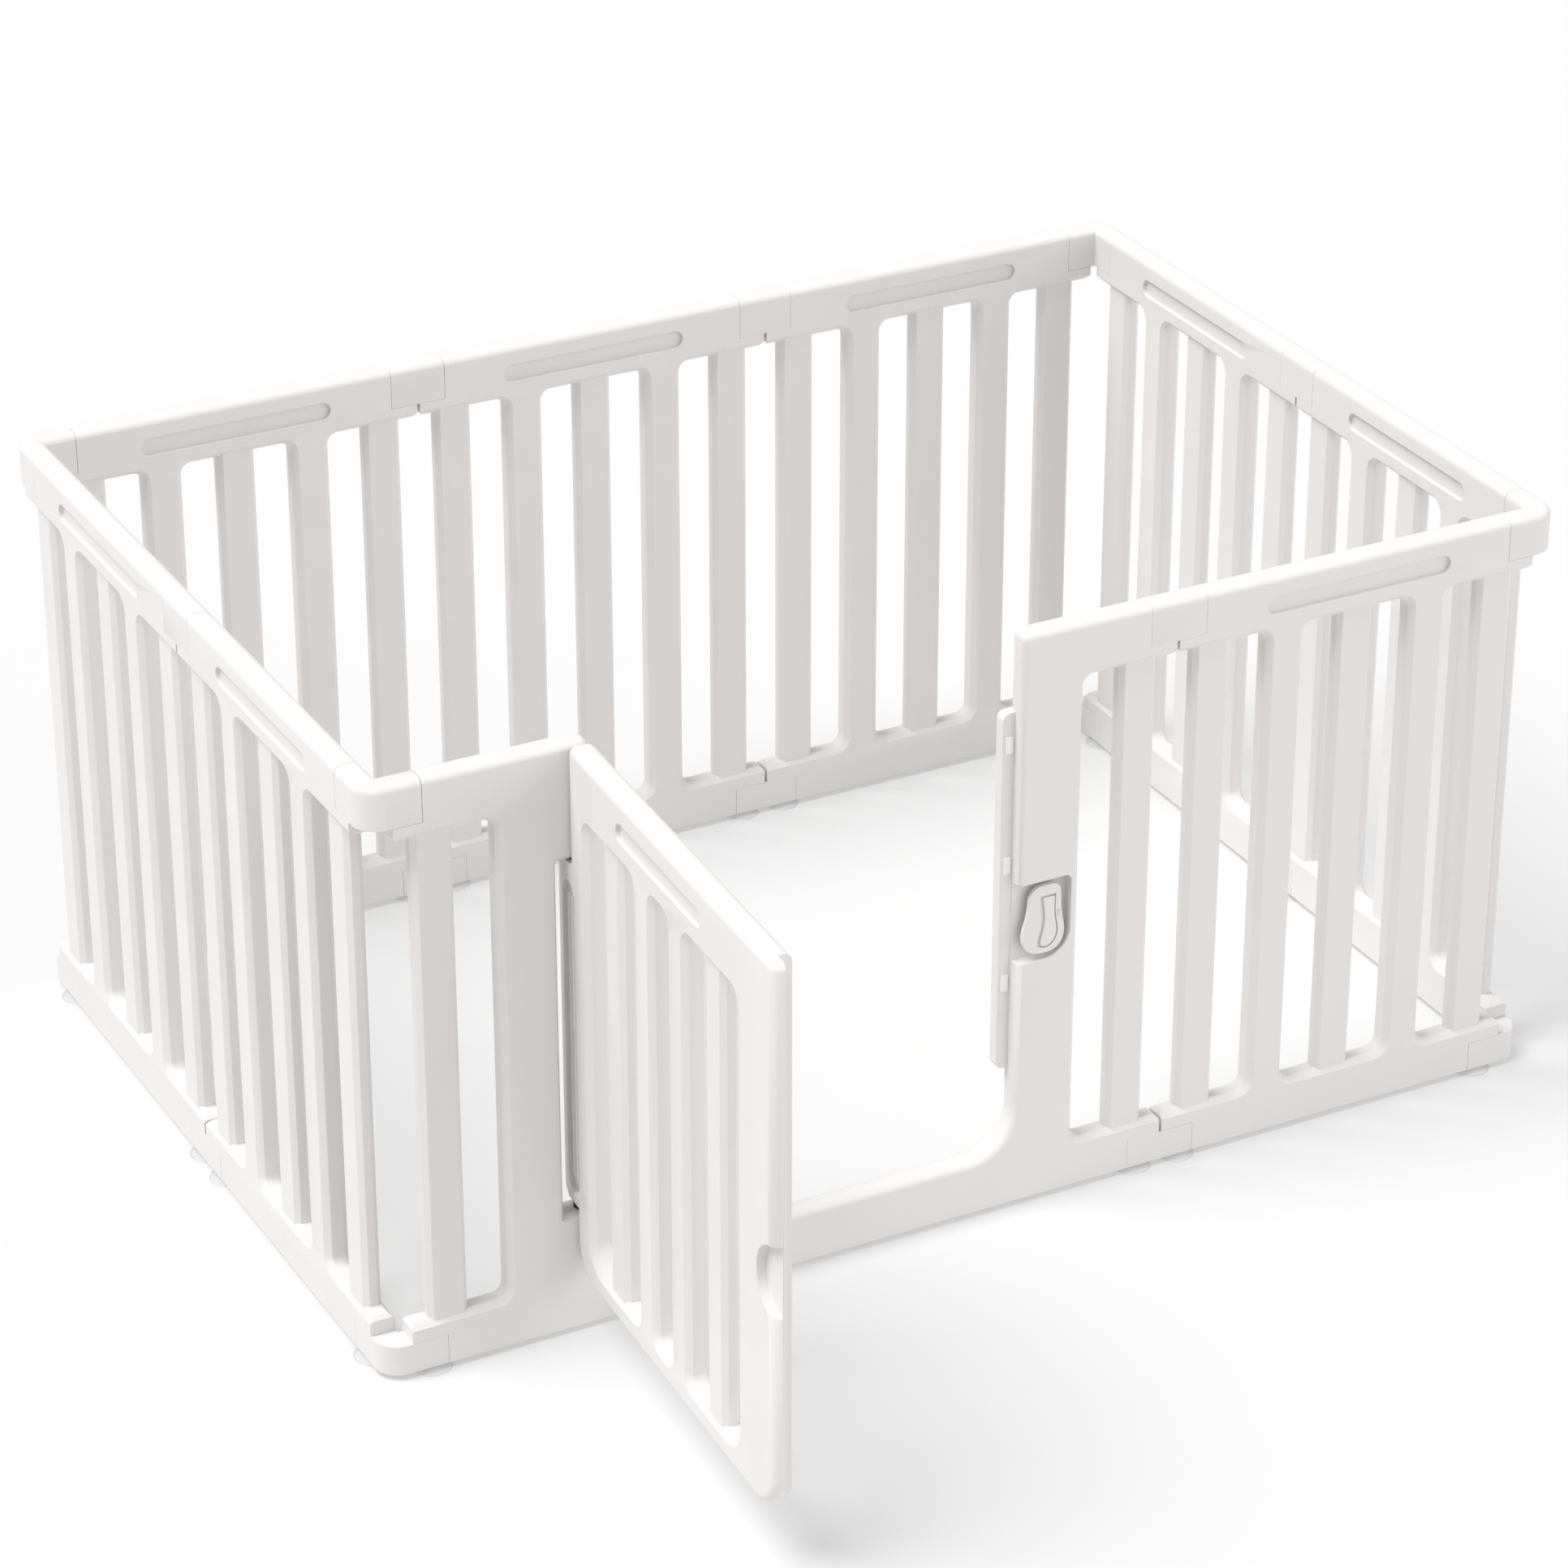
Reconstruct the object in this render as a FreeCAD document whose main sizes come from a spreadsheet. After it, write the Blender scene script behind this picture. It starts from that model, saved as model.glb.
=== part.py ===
import FreeCAD, Part
import math
import os

# Modular pet playpen: eight barred panels, a framed door and clip-in connectors stand on
# suction cups. The long sides run along X, the door side faces -Y, the floor is Z = 0 and
# the origin is the middle of the pen on the floor. Lengths are in millimetres.

DOCUMENT = FreeCAD.newDocument("pet_playpen")

DIMENSIONS = {
    "panel_pitch": 400,        # joint to joint along one standard panel
    "joint_gap": 3,            # air between neighbouring panel ends
    "seam": 0.2,               # hairline between a connector and a rail
    "rail_thick": 25,          # thickness of every rail and post
    "face_offset": 28,         # outer face beyond the line through the joints
    "floor_gap": 6,            # rails float this far above the floor
    "pen_top": 614,
    "window_top": 556,
    "window_foot": 56,
    "window_round": 12,
    "window_bevel": 6,
    "rail_round": 8,           # rounding of the top rail's two upper edges
    "cap_base": 571,           # underside of the top connectors
    "cap_reach": 30,           # top connector, joint line to seam
    "foot_top": 37,            # flat top of the bottom connectors
    "foot_reach": 37,          # bottom connector, joint line to seam
    "end_bevel": 4,            # bevel on the free corners of the panel ends
    "bar_pitch": 80,
    "bar_width": 40,
    "slat_thick": 18,
    "slat_bevel": 5,
    "slat_sink": 4,            # how far a slat runs into each rail
    "grip_length": 206,
    "grip_height": 19,
    "grip_level": 584,
    "grip_depth": 4,
    "corner_round": 25,        # outer vertical edge of the corner connectors
    "pen_shift": 213.93,       # pen middle behind the origin, so the origin is mid-outline
    "peg_radius": 4,
    "peg_length": 8,
    "peg_inset": 15,
    "peg_slack": 0.2,
    "socket_radius": 5,
    "socket_depth": 12,
    "cup_radius": 19.5,
    "cup_spacing": 25,
    "cup_height": 6,
    "cup_lip": 1.2,
    "stem_slack": 0.1,
    "doorway_left": -408,
    "doorway_right": 33,
    "doorway_round": 48,
    "threshold_top": 62,
    "doorway_edge_round": 9,   # on both faces, so that the door's corner clears the hinge post
    "hinge_post": -500,
    "strike_post": 100,
    "notch_wall": -444,
    "notch_foot": 128,
    "notch_head": 497,
    "notch_flare": 2,
    "notch_bevel": 6,
    "hinge_axis": -418,
    "tab_reach": 14,           # hinge line to the tab's far edge
    "tab_half_thick": 12.2,
    "tab_round": 3,
    "hinge_pin_radius": 3,
    "hinge_slack": 0.08,
    "bush_radius": 5.5,
    "flange_radius": 9.5,
    "bush_seat": 10,
    "bush_gap": 0.3,
    "tab_bore": 14,
    "tab_foot": 138,
    "tab_head": 495,
    "tab_bevel": 11,
    "tab_pocket_left": -422,
    "tab_pocket_right": -395,
    "tab_pocket_foot": 150,
    "tab_pocket_head": 476,
    "tab_pocket_depth": 4,
    "tab_rib": 2,
    "tab_rib_height": 2.5,
    "door_left": -405,
    "door_right": 30,
    "door_foot": 66,
    "door_round": 42,
    "door_step": 17,           # width of the rebate along the closing edge
    "door_layer": 12,          # thickness of the outer layer that laps the stop strip
    "door_open_angle": 93,
    "door_bar_pitch": 72,
    "door_bar_width": 36,
    "door_bar_first": 90,      # hinge edge to the middle of the first bar
    "door_window_foot": 93,
    "door_window_top": 551,
    "door_window_round": 25,
    "door_edge_round": 9,
    "door_grip_length": 180,
    "door_grip_level": 582,
    "stop_left": 20,
    "stop_foot": 150,
    "stop_head": 530,
    "stop_thick": 11.5,        # measured from the inner face
    "stop_round": 8,
    "pad_width": 8,
    "pad_height": 18,
    "pad_lift": 1,
    "pad_first": 244,
    "pad_pitch": 126.5,
    "latch_pocket_right": 91,
    "latch_pocket_foot": 267,
    "latch_pocket_head": 352,
    "latch_pocket_depth": 12,
    "latch_pocket_round": 28,
    "latch_pocket_small_round": 7,
    "door_pocket_foot": 272,
    "door_pocket_head": 343,
    "door_pocket_depth": 9,
    "door_pocket_width": 34,
    "latch_axis_x": 62,
    "latch_axis_z": 318,
    "latch_face": 4,           # plate face below the post's face
    "latch_thick": 4,
    "latch_head_radius": 21,
    "latch_head_lift": 7,
    "latch_lobe_radius": 24,
    "latch_lobe_drop": 20.5,
    "latch_grip_lift": 2.5,
    "latch_grip_top": 19,
    "latch_grip_foot": -36,
    "latch_grip_width": 19,
    "latch_grip_foot_width": 13,
    "latch_well": 5,           # width of the finger well beside and above the grip
    "latch_well_depth": 2.5,
    "latch_stem_radius": 6,
    "latch_bore_slack": 0.06,
    "latch_seat_radius": 10,   # counterbore for the washer in the post's inner face
    "latch_seat_depth": 6,
    "latch_float": 0.2,        # end play of the latch in its bore
    "screw_radius": 2,
    "screw_grip": 9,
    "screw_head_radius": 4.5,
    "screw_head_thick": 2.8,
    "washer_radius": 9,
    "washer_thick": 1.5,
}


def make_sheet():
    """Spreadsheet with one named cell for each driving dimension."""
    sheet = DOCUMENT.addObject("Spreadsheet::Sheet", "dims")
    for row, (name, value) in enumerate(DIMENSIONS.items(), 1):
        sheet.set(f"A{row}", name)
        sheet.set(f"B{row}", str(value))
        sheet.setAlias(f"B{row}", name)
    DOCUMENT.recompute()
    return sheet


SHEET = make_sheet()

# Expressions that several sub-parts share.
PANEL_END = "(dims.panel_pitch - dims.joint_gap / 2)"
HALF_GAP = "dims.joint_gap / 2"
MID_PLANE = "(dims.panel_pitch + dims.face_offset - dims.rail_thick / 2)"
SIDE_PLANE = "(1.5 * dims.panel_pitch + dims.face_offset - dims.rail_thick / 2)"
OUTER_FACE = "(dims.panel_pitch + dims.face_offset)"
LANE = "(dims.rail_thick / 2 - dims.face_offset)"
STEM_END = "(dims.rail_thick - dims.latch_face - dims.latch_seat_depth + dims.latch_float)"


def number(expression):
    """Value of a sheet expression, in millimetres or degrees."""
    result = SHEET.evalExpression(expression)
    return float(getattr(result, "Value", result))


def body(label):
    """Empty PartDesign body that names one node."""
    made = DOCUMENT.addObject("PartDesign::Body", label)
    made.Label = label
    return made


def origin_plane(owner, role):
    """Origin plane of a body, found by its role."""
    return next(item for item in owner.Origin.OriginFeatures if item.Role == role)


def new_sketch(owner, plane, offset="0", reverse=False):
    """Sketch on an origin plane of its own body, shifted along the plane's normal."""
    made = owner.newObject("Sketcher::SketchObject", owner.Label + "_sketch")
    made.AttachmentSupport = (origin_plane(owner, plane), "")
    made.MapMode = "FlatFace"
    made.MapReversed = reverse
    made.setExpression("AttachmentOffset.Base.z", offset)
    return made


def bind_point(made, geometry, point, corner):
    """Hold one sketch point at two sheet expressions measured from the sketch origin."""
    import Sketcher
    for kind, expression in zip(("DistanceX", "DistanceY"), corner):
        index = made.addConstraint(Sketcher.Constraint(kind, -1, 1, geometry, point, number(expression)))
        made.setExpression(f"Constraints[{index}]", expression)


def add_loop(made, corners):
    """Closed polygon through corners, each a pair of sheet expressions."""
    import Sketcher
    values = [FreeCAD.Vector(number(across), number(up), 0) for across, up in corners]
    first = made.GeometryCount
    count = len(corners)
    for index in range(count):
        made.addGeometry(Part.LineSegment(values[index], values[(index + 1) % count]), False)
    for index in range(count):
        following = first + (index + 1) % count
        made.addConstraint(Sketcher.Constraint("Coincident", first + index, 2, following, 1))
        bind_point(made, first + index, 1, corners[index])


def add_circle(made, across, up, radius):
    """Circle with its middle and radius bound to sheet expressions."""
    import Sketcher
    centre = FreeCAD.Vector(number(across), number(up), 0)
    index = made.addGeometry(Part.Circle(centre, FreeCAD.Vector(0, 0, 1), number(radius)), False)
    bind_point(made, index, 3, (across, up))
    limit = made.addConstraint(Sketcher.Constraint("Radius", index, number(radius)))
    made.setExpression(f"Constraints[{limit}]", radius)


def rectangle(left, low, right, high):
    """Corners of an upright rectangle, anticlockwise."""
    return [(left, low), (right, low), (right, high), (left, high)]


def pad(owner, made, length, both_ways=False, reverse=False):
    """Add the sketch's area to the body."""
    feature = owner.newObject("PartDesign::Pad", owner.Label + "_pad")
    feature.Profile = made
    feature.setExpression("Length", length)
    feature.SideType = "Symmetric" if both_ways else "One side"
    feature.Reversed = reverse
    DOCUMENT.recompute()
    return feature


def pocket(owner, made, length=None, reverse=False):
    """Cut the sketch's area, right through both ways or to a depth, and prove that it cut."""
    before = owner.Shape.Volume
    feature = owner.newObject("PartDesign::Pocket", owner.Label + "_pocket")
    feature.Profile = made
    if length is None:
        feature.Type = "ThroughAll"
        feature.SideType = "Symmetric"
    else:
        feature.setExpression("Length", length)
        feature.Reversed = reverse
    DOCUMENT.recompute()
    if not feature.Shape.Volume < before - 1:
        raise RuntimeError(owner.Label + ": a pocket cut nothing")
    return feature


def edges_where(shape, test):
    """Names of the straight or curved edges that pass a test on their middle and direction."""
    names = []
    for index, edge in enumerate(shape.Edges, 1):
        middle = edge.valueAt((edge.FirstParameter + edge.LastParameter) / 2)
        ends = [vertex.Point for vertex in edge.Vertexes]
        reach = ends[-1] - ends[0] if len(ends) > 1 else FreeCAD.Vector(0, 0, 0)
        if test(edge, middle, reach):
            names.append(f"Edge{index}")
    return names


def dress(owner, kind, names, size):
    """Fillet or chamfer on the named edges of the body's tip."""
    feature = owner.newObject("PartDesign::" + kind, owner.Label + "_" + kind.lower())
    feature.Base = (owner.Tip if owner.Tip != feature else feature.BaseFeature, names)
    feature.setExpression("Radius" if kind == "Fillet" else "Size", size)
    DOCUMENT.recompute()
    if not feature.isValid():
        raise RuntimeError(f"{owner.Label}: {kind} {size} failed")
    return feature


def near(value, expression, slack=0.05):
    """Whether a coordinate lies at a sheet expression."""
    return abs(value - number(expression)) < slack


def along(reach, axis):
    """Whether an edge runs along one axis only."""
    parts = [abs(reach.x), abs(reach.y), abs(reach.z)]
    length = parts.pop(axis)
    return length > 0.5 and max(parts) < 1e-4


def place(thing, east, north, turn="0", up="0"):
    """Put a sub-part in the pen: a turn about Z, then a shift."""
    thing.Placement = FreeCAD.Placement(FreeCAD.Vector(), FreeCAD.Rotation(FreeCAD.Vector(0, 0, 1), 1))
    thing.setExpression("Placement.Rotation.Angle", turn)
    thing.setExpression("Placement.Base.x", east)
    thing.setExpression("Placement.Base.y", f"{north} + dims.pen_shift")
    thing.setExpression("Placement.Base.z", up)
    return thing


def hang_on_hinge(thing):
    """Turn a sub-part that is drawn closed about the hinge line to the open position."""
    axis = "dims.hinge_axis"
    angle = "dims.door_open_angle"
    east = f"{axis} - cos({angle} * 1 deg) * {axis}"
    north = f"sin({angle} * 1 deg) * {axis} - {MID_PLANE}"
    return place(thing, east, north, f"-{angle}")


def slat_section(made, centre, width="dims.bar_width", depth="0"):
    """Eight-sided slat section in a plan sketch, bevelled on its four long edges."""
    half = f"({width}) / 2"
    thick = "dims.slat_thick / 2"
    bevel = "dims.slat_bevel"
    corners = []
    for side, face, wide_first in ((1, -1, True), (1, 1, False), (-1, 1, True), (-1, -1, False)):
        wide = (f"{centre} + ({side}) * ({half})", f"{depth} + ({face}) * ({thick} - {bevel})")
        narrow = (f"{centre} + ({side}) * ({half} - {bevel})", f"{depth} + ({face}) * {thick}")
        pair = [narrow, wide] if wide_first else [wide, narrow]
        corners.extend(pair)
    add_loop(made, corners)


def end_profile(end, side):
    """Bottom-to-top corners of one rail end: foot notch, tongue, open window, tongue, cap notch."""
    def inward(distance):
        return f"{end} + ({-side}) * ({distance})"

    lower = [
        (inward("dims.foot_reach - " + HALF_GAP), "dims.floor_gap"),
        (inward("dims.foot_reach - " + HALF_GAP), "dims.foot_top"),
        (end, "dims.foot_top"),
        (end, "dims.window_foot - dims.end_bevel"),
        (inward("dims.end_bevel"), "dims.window_foot"),
    ]
    upper = [
        (inward("dims.end_bevel"), "dims.window_top"),
        (end, "dims.window_top + dims.end_bevel"),
        (end, "dims.cap_base"),
        (inward("dims.cap_reach - " + HALF_GAP), "dims.cap_base"),
        (inward("dims.cap_reach - " + HALF_GAP), "dims.pen_top"),
    ]
    return lower, upper


def round_window_corners(owner, places, size):
    """Round the upright-window corners that sit at the given (x, z) expressions."""
    spots = [(number(across), number(up)) for across, up in places]

    def at_corner(edge, middle, reach):
        return along(reach, 1) and any(
            abs(middle.x - across) < 0.05 and abs(middle.z - up) < 0.05 for across, up in spots)

    dress(owner, "Fillet", edges_where(owner.Shape, at_corner), size)


def bevel_windows(owner, spans, low="dims.window_foot", high="dims.window_top"):
    """Bevel the edges round each window on both faces; spans are (left, right) expressions."""
    half = number("dims.rail_thick") / 2
    boxes = [(number(left), number(right)) for left, right in spans]
    foot, head = number(low), number(high)

    def on_rim(edge, middle, reach):
        if abs(abs(middle.y) - half) > 0.01 or abs(reach.y) > 0.01:
            return False
        if not foot - 0.05 <= middle.z <= head + 0.05:
            return False
        return any(left - 0.05 <= middle.x <= right + 0.05 for left, right in boxes)

    dress(owner, "Chamfer", edges_where(owner.Shape, on_rim), "dims.window_bevel")


def round_rail_top(owner):
    """Round the two long upper edges of the top rail."""
    head = number("dims.pen_top")
    half = number("dims.rail_thick") / 2

    def on_ridge(edge, middle, reach):
        return along(reach, 0) and abs(middle.z - head) < 0.01 and abs(abs(middle.y) - half) < 0.01

    dress(owner, "Fillet", edges_where(owner.Shape, on_ridge), "dims.rail_round")


def grip_recess(owner, centre, level="dims.grip_level", length="dims.grip_length"):
    """Long round-ended finger recess in the top rail, one on each face."""
    import Sketcher
    half = f"({length} - dims.grip_height) / 2"
    radius = "dims.grip_height / 2"
    for side in (-1, 1):
        made = new_sketch(owner, "XZ_Plane", f"({side}) * dims.rail_thick / 2")
        left = FreeCAD.Vector(number(f"{centre} - {half}"), number(level), 0)
        right = FreeCAD.Vector(number(f"{centre} + {half}"), number(level), 0)
        up = FreeCAD.Vector(0, number(radius), 0)
        axis = FreeCAD.Vector(0, 0, 1)
        made.addGeometry(Part.LineSegment(left - up, right - up), False)
        circle = Part.Circle(right, axis, up.y)
        made.addGeometry(Part.ArcOfCircle(circle, -math.pi / 2, math.pi / 2), False)
        made.addGeometry(Part.LineSegment(right + up, left + up), False)
        circle = Part.Circle(left, axis, up.y)
        made.addGeometry(Part.ArcOfCircle(circle, math.pi / 2, 3 * math.pi / 2), False)
        for line, arc in ((0, 1), (2, 1), (2, 3), (0, 3)):
            ends = {(0, 1): (2, 1), (2, 1): (1, 2), (2, 3): (2, 1), (0, 3): (1, 2)}[(line, arc)]
            made.addConstraint(Sketcher.Constraint("Tangent", line, ends[0], arc, ends[1]))
        bind_point(made, 1, 3, (f"{centre} + {half}", level))
        index = made.addConstraint(Sketcher.Constraint("DistanceX", 3, 3, 1, 3, number(f"2 * {half}")))
        made.setExpression(f"Constraints[{index}]", f"2 * {half}")
        index = made.addConstraint(Sketcher.Constraint("Radius", 1, up.y))
        made.setExpression(f"Constraints[{index}]", radius)
        pocket(owner, made, "dims.grip_depth", reverse=side < 0)


def peg_holes(owner, centres):
    """Round holes through the tongues for the connectors' pegs, above and below."""
    for level in ("dims.foot_top", "dims.cap_base - dims.peg_length - 1"):
        made = new_sketch(owner, "XY_Plane", level)
        for centre in centres:
            add_circle(made, centre, "0", "dims.peg_radius + dims.peg_slack")
        pocket(owner, made, "dims.peg_length + 1", reverse=True)


def standard_panel(label):
    """Barred panel, joint line at X = 0: two rails, two full posts, three thinner slats."""
    owner = body(label)
    left, right = HALF_GAP, PANEL_END
    middle = "dims.panel_pitch / 2"
    posts = [f"({middle} - dims.bar_pitch)", f"({middle} + dims.bar_pitch)"]
    half = "dims.bar_width / 2"
    left_low, left_high = end_profile(left, -1)
    right_low, right_high = end_profile(right, 1)
    post_left = f"{posts[0]} - {half}"
    post_right = f"{posts[1]} + {half}"
    outline = left_low[:1] + right_low
    outline += [(post_right, "dims.window_foot"), (post_right, "dims.window_top")]
    outline += right_high + left_high[::-1]
    outline += [(post_left, "dims.window_top"), (post_left, "dims.window_foot")] + left_low[:0:-1]
    made = new_sketch(owner, "XZ_Plane")
    add_loop(made, outline)
    window = (f"{posts[0]} + {half}", f"{posts[1]} - {half}")
    add_loop(made, rectangle(window[0], "dims.window_foot", window[1], "dims.window_top"))
    pad(owner, made, "dims.rail_thick", both_ways=True)
    edges = [post_left, post_right, window[0], window[1]]
    corners = [(across, up) for across in edges for up in ("dims.window_foot", "dims.window_top")]
    round_window_corners(owner, corners, "dims.window_round")
    bevel_windows(owner, [window, (left, post_left), (post_right, right)])
    round_rail_top(owner)
    slats(owner, [middle, f"{middle} - 2 * dims.bar_pitch", f"{middle} + 2 * dims.bar_pitch"])
    grip_recess(owner, middle)
    peg_holes(owner, ["dims.peg_inset", "dims.panel_pitch - dims.peg_inset"])
    return owner


def slats(owner, centres, width="dims.bar_width", low="dims.window_foot", high="dims.window_top"):
    """Set-back slats that run from rail to rail."""
    made = new_sketch(owner, "XY_Plane", f"{low} - dims.slat_sink")
    for centre in centres:
        slat_section(made, centre, width)
    pad(owner, made, f"{high} - {low} + 2 * dims.slat_sink")


def door_frame(label):
    """Two-pitch panel with an open doorway, a hinge post and a strike post."""
    owner = body(label)
    left = "-1.5 * dims.panel_pitch + " + HALF_GAP
    right = "dims.panel_pitch / 2 - " + HALF_GAP
    left_low, left_high = end_profile(left, -1)
    right_low, right_high = end_profile(right, 1)
    outline = left_low[:1] + right_low
    outline += [("dims.strike_post", "dims.window_foot"), ("dims.strike_post", "dims.window_top")]
    outline += right_high
    outline += [("dims.doorway_right", "dims.pen_top"), ("dims.doorway_right", "dims.threshold_top")]
    outline += [("dims.doorway_left", "dims.threshold_top"), ("dims.doorway_left", "dims.pen_top")]
    outline += left_high[::-1]
    outline += [("dims.hinge_post", "dims.window_top"), ("dims.hinge_post", "dims.window_foot")]
    outline += left_low[:0:-1]
    made = new_sketch(owner, "XZ_Plane")
    add_loop(made, outline)
    pad(owner, made, "dims.rail_thick", both_ways=True)
    window_ends = [(across, up) for across in ("dims.hinge_post", "dims.strike_post")
                   for up in ("dims.window_foot", "dims.window_top")]
    round_window_corners(owner, window_ends, "dims.window_round")
    sill_ends = [(across, "dims.threshold_top") for across in ("dims.doorway_left", "dims.doorway_right")]
    round_window_corners(owner, sill_ends, "dims.doorway_round")
    bevel_windows(owner, [(left, "dims.hinge_post"), ("dims.strike_post", right)])
    round_doorway(owner)
    round_rail_top(owner)
    slats(owner, ["-1.5 * dims.panel_pitch + dims.bar_width", "dims.panel_pitch / 2 - dims.bar_width"])
    stop_strip(owner)
    hinge_notch(owner)
    latch_pocket(owner)
    insets = "1.5 * dims.panel_pitch - dims.peg_inset", "dims.panel_pitch / 2 - dims.peg_inset"
    peg_holes(owner, [f"-({insets[0]})", insets[1]])
    return owner


def round_doorway(owner):
    """Round the doorway's edges on both faces, up both posts and along the threshold."""
    half = number("dims.rail_thick") / 2

    def on_post(edge, middle, reach):
        at_side = near(middle.x, "dims.doorway_left") or near(middle.x, "dims.doorway_right")
        return along(reach, 2) and at_side and abs(abs(middle.y) - half) < 0.01

    dress(owner, "Fillet", edges_where(owner.Shape, on_post), "dims.doorway_edge_round")


def stop_strip(owner):
    """Inner-half strip on the strike post that the closed door laps."""
    made = new_sketch(owner, "XZ_Plane", "-dims.rail_thick / 2")
    add_loop(made, rectangle("dims.stop_left", "dims.stop_foot",
                             "dims.doorway_right + dims.doorway_edge_round", "dims.stop_head"))
    pad(owner, made, "dims.stop_thick")

    def free_corner(edge, middle, reach):
        return along(reach, 1) and near(middle.x, "dims.stop_left")

    dress(owner, "Fillet", edges_where(owner.Shape, free_corner), "dims.stop_round")


def hinge_notch(owner):
    """Window in the hinge post's edge that the door's hinge tab turns in, flared at the front."""
    edge = "dims.doorway_left + 5"
    made = new_sketch(owner, "XZ_Plane")
    add_loop(made, rectangle("dims.notch_wall", "dims.notch_foot", edge, "dims.notch_head"))
    pocket(owner, made)
    flare = new_sketch(owner, "XY_Plane", "dims.notch_foot - dims.notch_bevel / 2")
    front = "-dims.rail_thick / 2"
    add_loop(flare, [
        ("dims.notch_wall - dims.notch_flare", f"{front} - 1"),
        ("dims.notch_wall + 1", f"{front} - 1"),
        ("dims.notch_wall + 1", f"{front} + dims.notch_flare"),
        ("dims.notch_wall", f"{front} + dims.notch_flare"),
        ("dims.notch_wall - dims.notch_flare", front),
    ])
    pocket(owner, flare, "dims.notch_head - dims.notch_foot + dims.notch_bevel", reverse=True)
    for level, side in (("dims.notch_foot", -1), ("dims.notch_head", 1)):
        bevel = new_sketch(owner, "YZ_Plane", "dims.notch_wall - dims.notch_flare + dims.notch_bevel / 2")
        add_loop(bevel, [
            (f"{front} - 1", level),
            (f"{front} + dims.notch_bevel", level),
            (front, f"{level} + ({side}) * dims.notch_bevel"),
            (f"{front} - 1", f"{level} + ({side}) * dims.notch_bevel"),
        ])
        pocket(owner, bevel, "dims.doorway_left - dims.notch_wall + dims.notch_flare", reverse=True)
    for level, reverse in (("dims.notch_foot", False), ("dims.notch_head", True)):
        seat = new_sketch(owner, "XY_Plane", level)
        add_circle(seat, "dims.hinge_axis", "0", "dims.bush_radius")
        pocket(owner, seat, "dims.bush_seat", reverse=reverse)


def latch_pocket(owner):
    """Recess in the strike post, open to the doorway, with a bore and a washer seat behind it."""
    made = new_sketch(owner, "XZ_Plane", "dims.rail_thick / 2")
    add_loop(made, rectangle("dims.doorway_right - 5", "dims.latch_pocket_foot",
                             "dims.latch_pocket_right", "dims.latch_pocket_head"))
    pocket(owner, made, "dims.latch_pocket_depth")

    def deep_corner(level):
        def test(edge, middle, reach):
            at_right = near(middle.x, "dims.latch_pocket_right")
            return along(reach, 1) and at_right and near(middle.z, level)
        return test

    corners = (
        ("dims.latch_pocket_foot", "dims.latch_pocket_round"),
        ("dims.latch_pocket_head", "dims.latch_pocket_small_round"),
    )
    for level, size in corners:
        dress(owner, "Fillet", edges_where(owner.Shape, deep_corner(level)), size)
    seat = new_sketch(owner, "XZ_Plane", "dims.latch_seat_depth - dims.rail_thick / 2")
    add_circle(seat, "dims.latch_axis_x", "dims.latch_axis_z", "dims.latch_seat_radius")
    pocket(owner, seat, "dims.latch_seat_depth")
    bore = new_sketch(owner, "XZ_Plane")
    radius = "dims.latch_stem_radius + dims.latch_bore_slack"
    add_circle(bore, "dims.latch_axis_x", "dims.latch_axis_z", radius)
    pocket(owner, bore)


def door(label):
    """Swinging door, drawn closed: stiles, two posts, two slats and a lapping outer layer."""
    owner = body(label)
    first = "(dims.door_left + dims.door_bar_first)"
    centres = [f"({first} + {index} * dims.door_bar_pitch)" for index in range(4)]
    half = "dims.door_bar_width / 2"
    hinge_side = f"{centres[0]} - dims.door_bar_pitch + {half}"
    latch_side = f"{centres[3]} + dims.door_bar_pitch - {half}"
    windows = [
        (hinge_side, f"{centres[1]} - {half}"),
        (f"{centres[1]} + {half}", f"{centres[2]} - {half}"),
        (f"{centres[2]} + {half}", latch_side),
    ]
    low, high = "dims.door_window_foot", "dims.door_window_top"
    made = new_sketch(owner, "XZ_Plane")
    add_loop(made, rectangle("dims.door_left", "dims.door_foot", "dims.door_right", "dims.pen_top"))
    for left, right in windows:
        add_loop(made, rectangle(left, low, right, high))
    pad(owner, made, "dims.rail_thick", both_ways=True)
    lower_ends = [(hinge_side, low), (latch_side, low)]
    others = [(side, up) for pair in windows for side in pair for up in (low, high)]
    others = [spot for spot in others if spot not in lower_ends]
    round_window_corners(owner, lower_ends, "dims.door_window_round")
    round_window_corners(owner, others, "dims.window_round")
    feet = [("dims.door_left", "dims.door_foot"), ("dims.door_right", "dims.door_foot")]
    round_window_corners(owner, feet, "dims.door_round")
    bevel_windows(owner, windows, low, high)
    round_door_edges(owner)
    round_rail_top(owner)
    slats(owner, [centres[0], centres[3]], "dims.door_bar_width", low, high)
    middle = f"({first} + 1.5 * dims.door_bar_pitch)"
    grip_recess(owner, middle, "dims.door_grip_level", "dims.door_grip_length")
    door_rebate(owner)
    door_pocket(owner)
    hinge_tab(owner)
    return owner


def round_door_edges(owner):
    """Round the door's upright edges so that it can swing past the posts."""
    def upright(edge, middle, reach):
        at_side = near(middle.x, "dims.door_left") or near(middle.x, "dims.door_right")
        return along(reach, 2) and at_side

    dress(owner, "Fillet", edges_where(owner.Shape, upright), "dims.door_edge_round")


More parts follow.
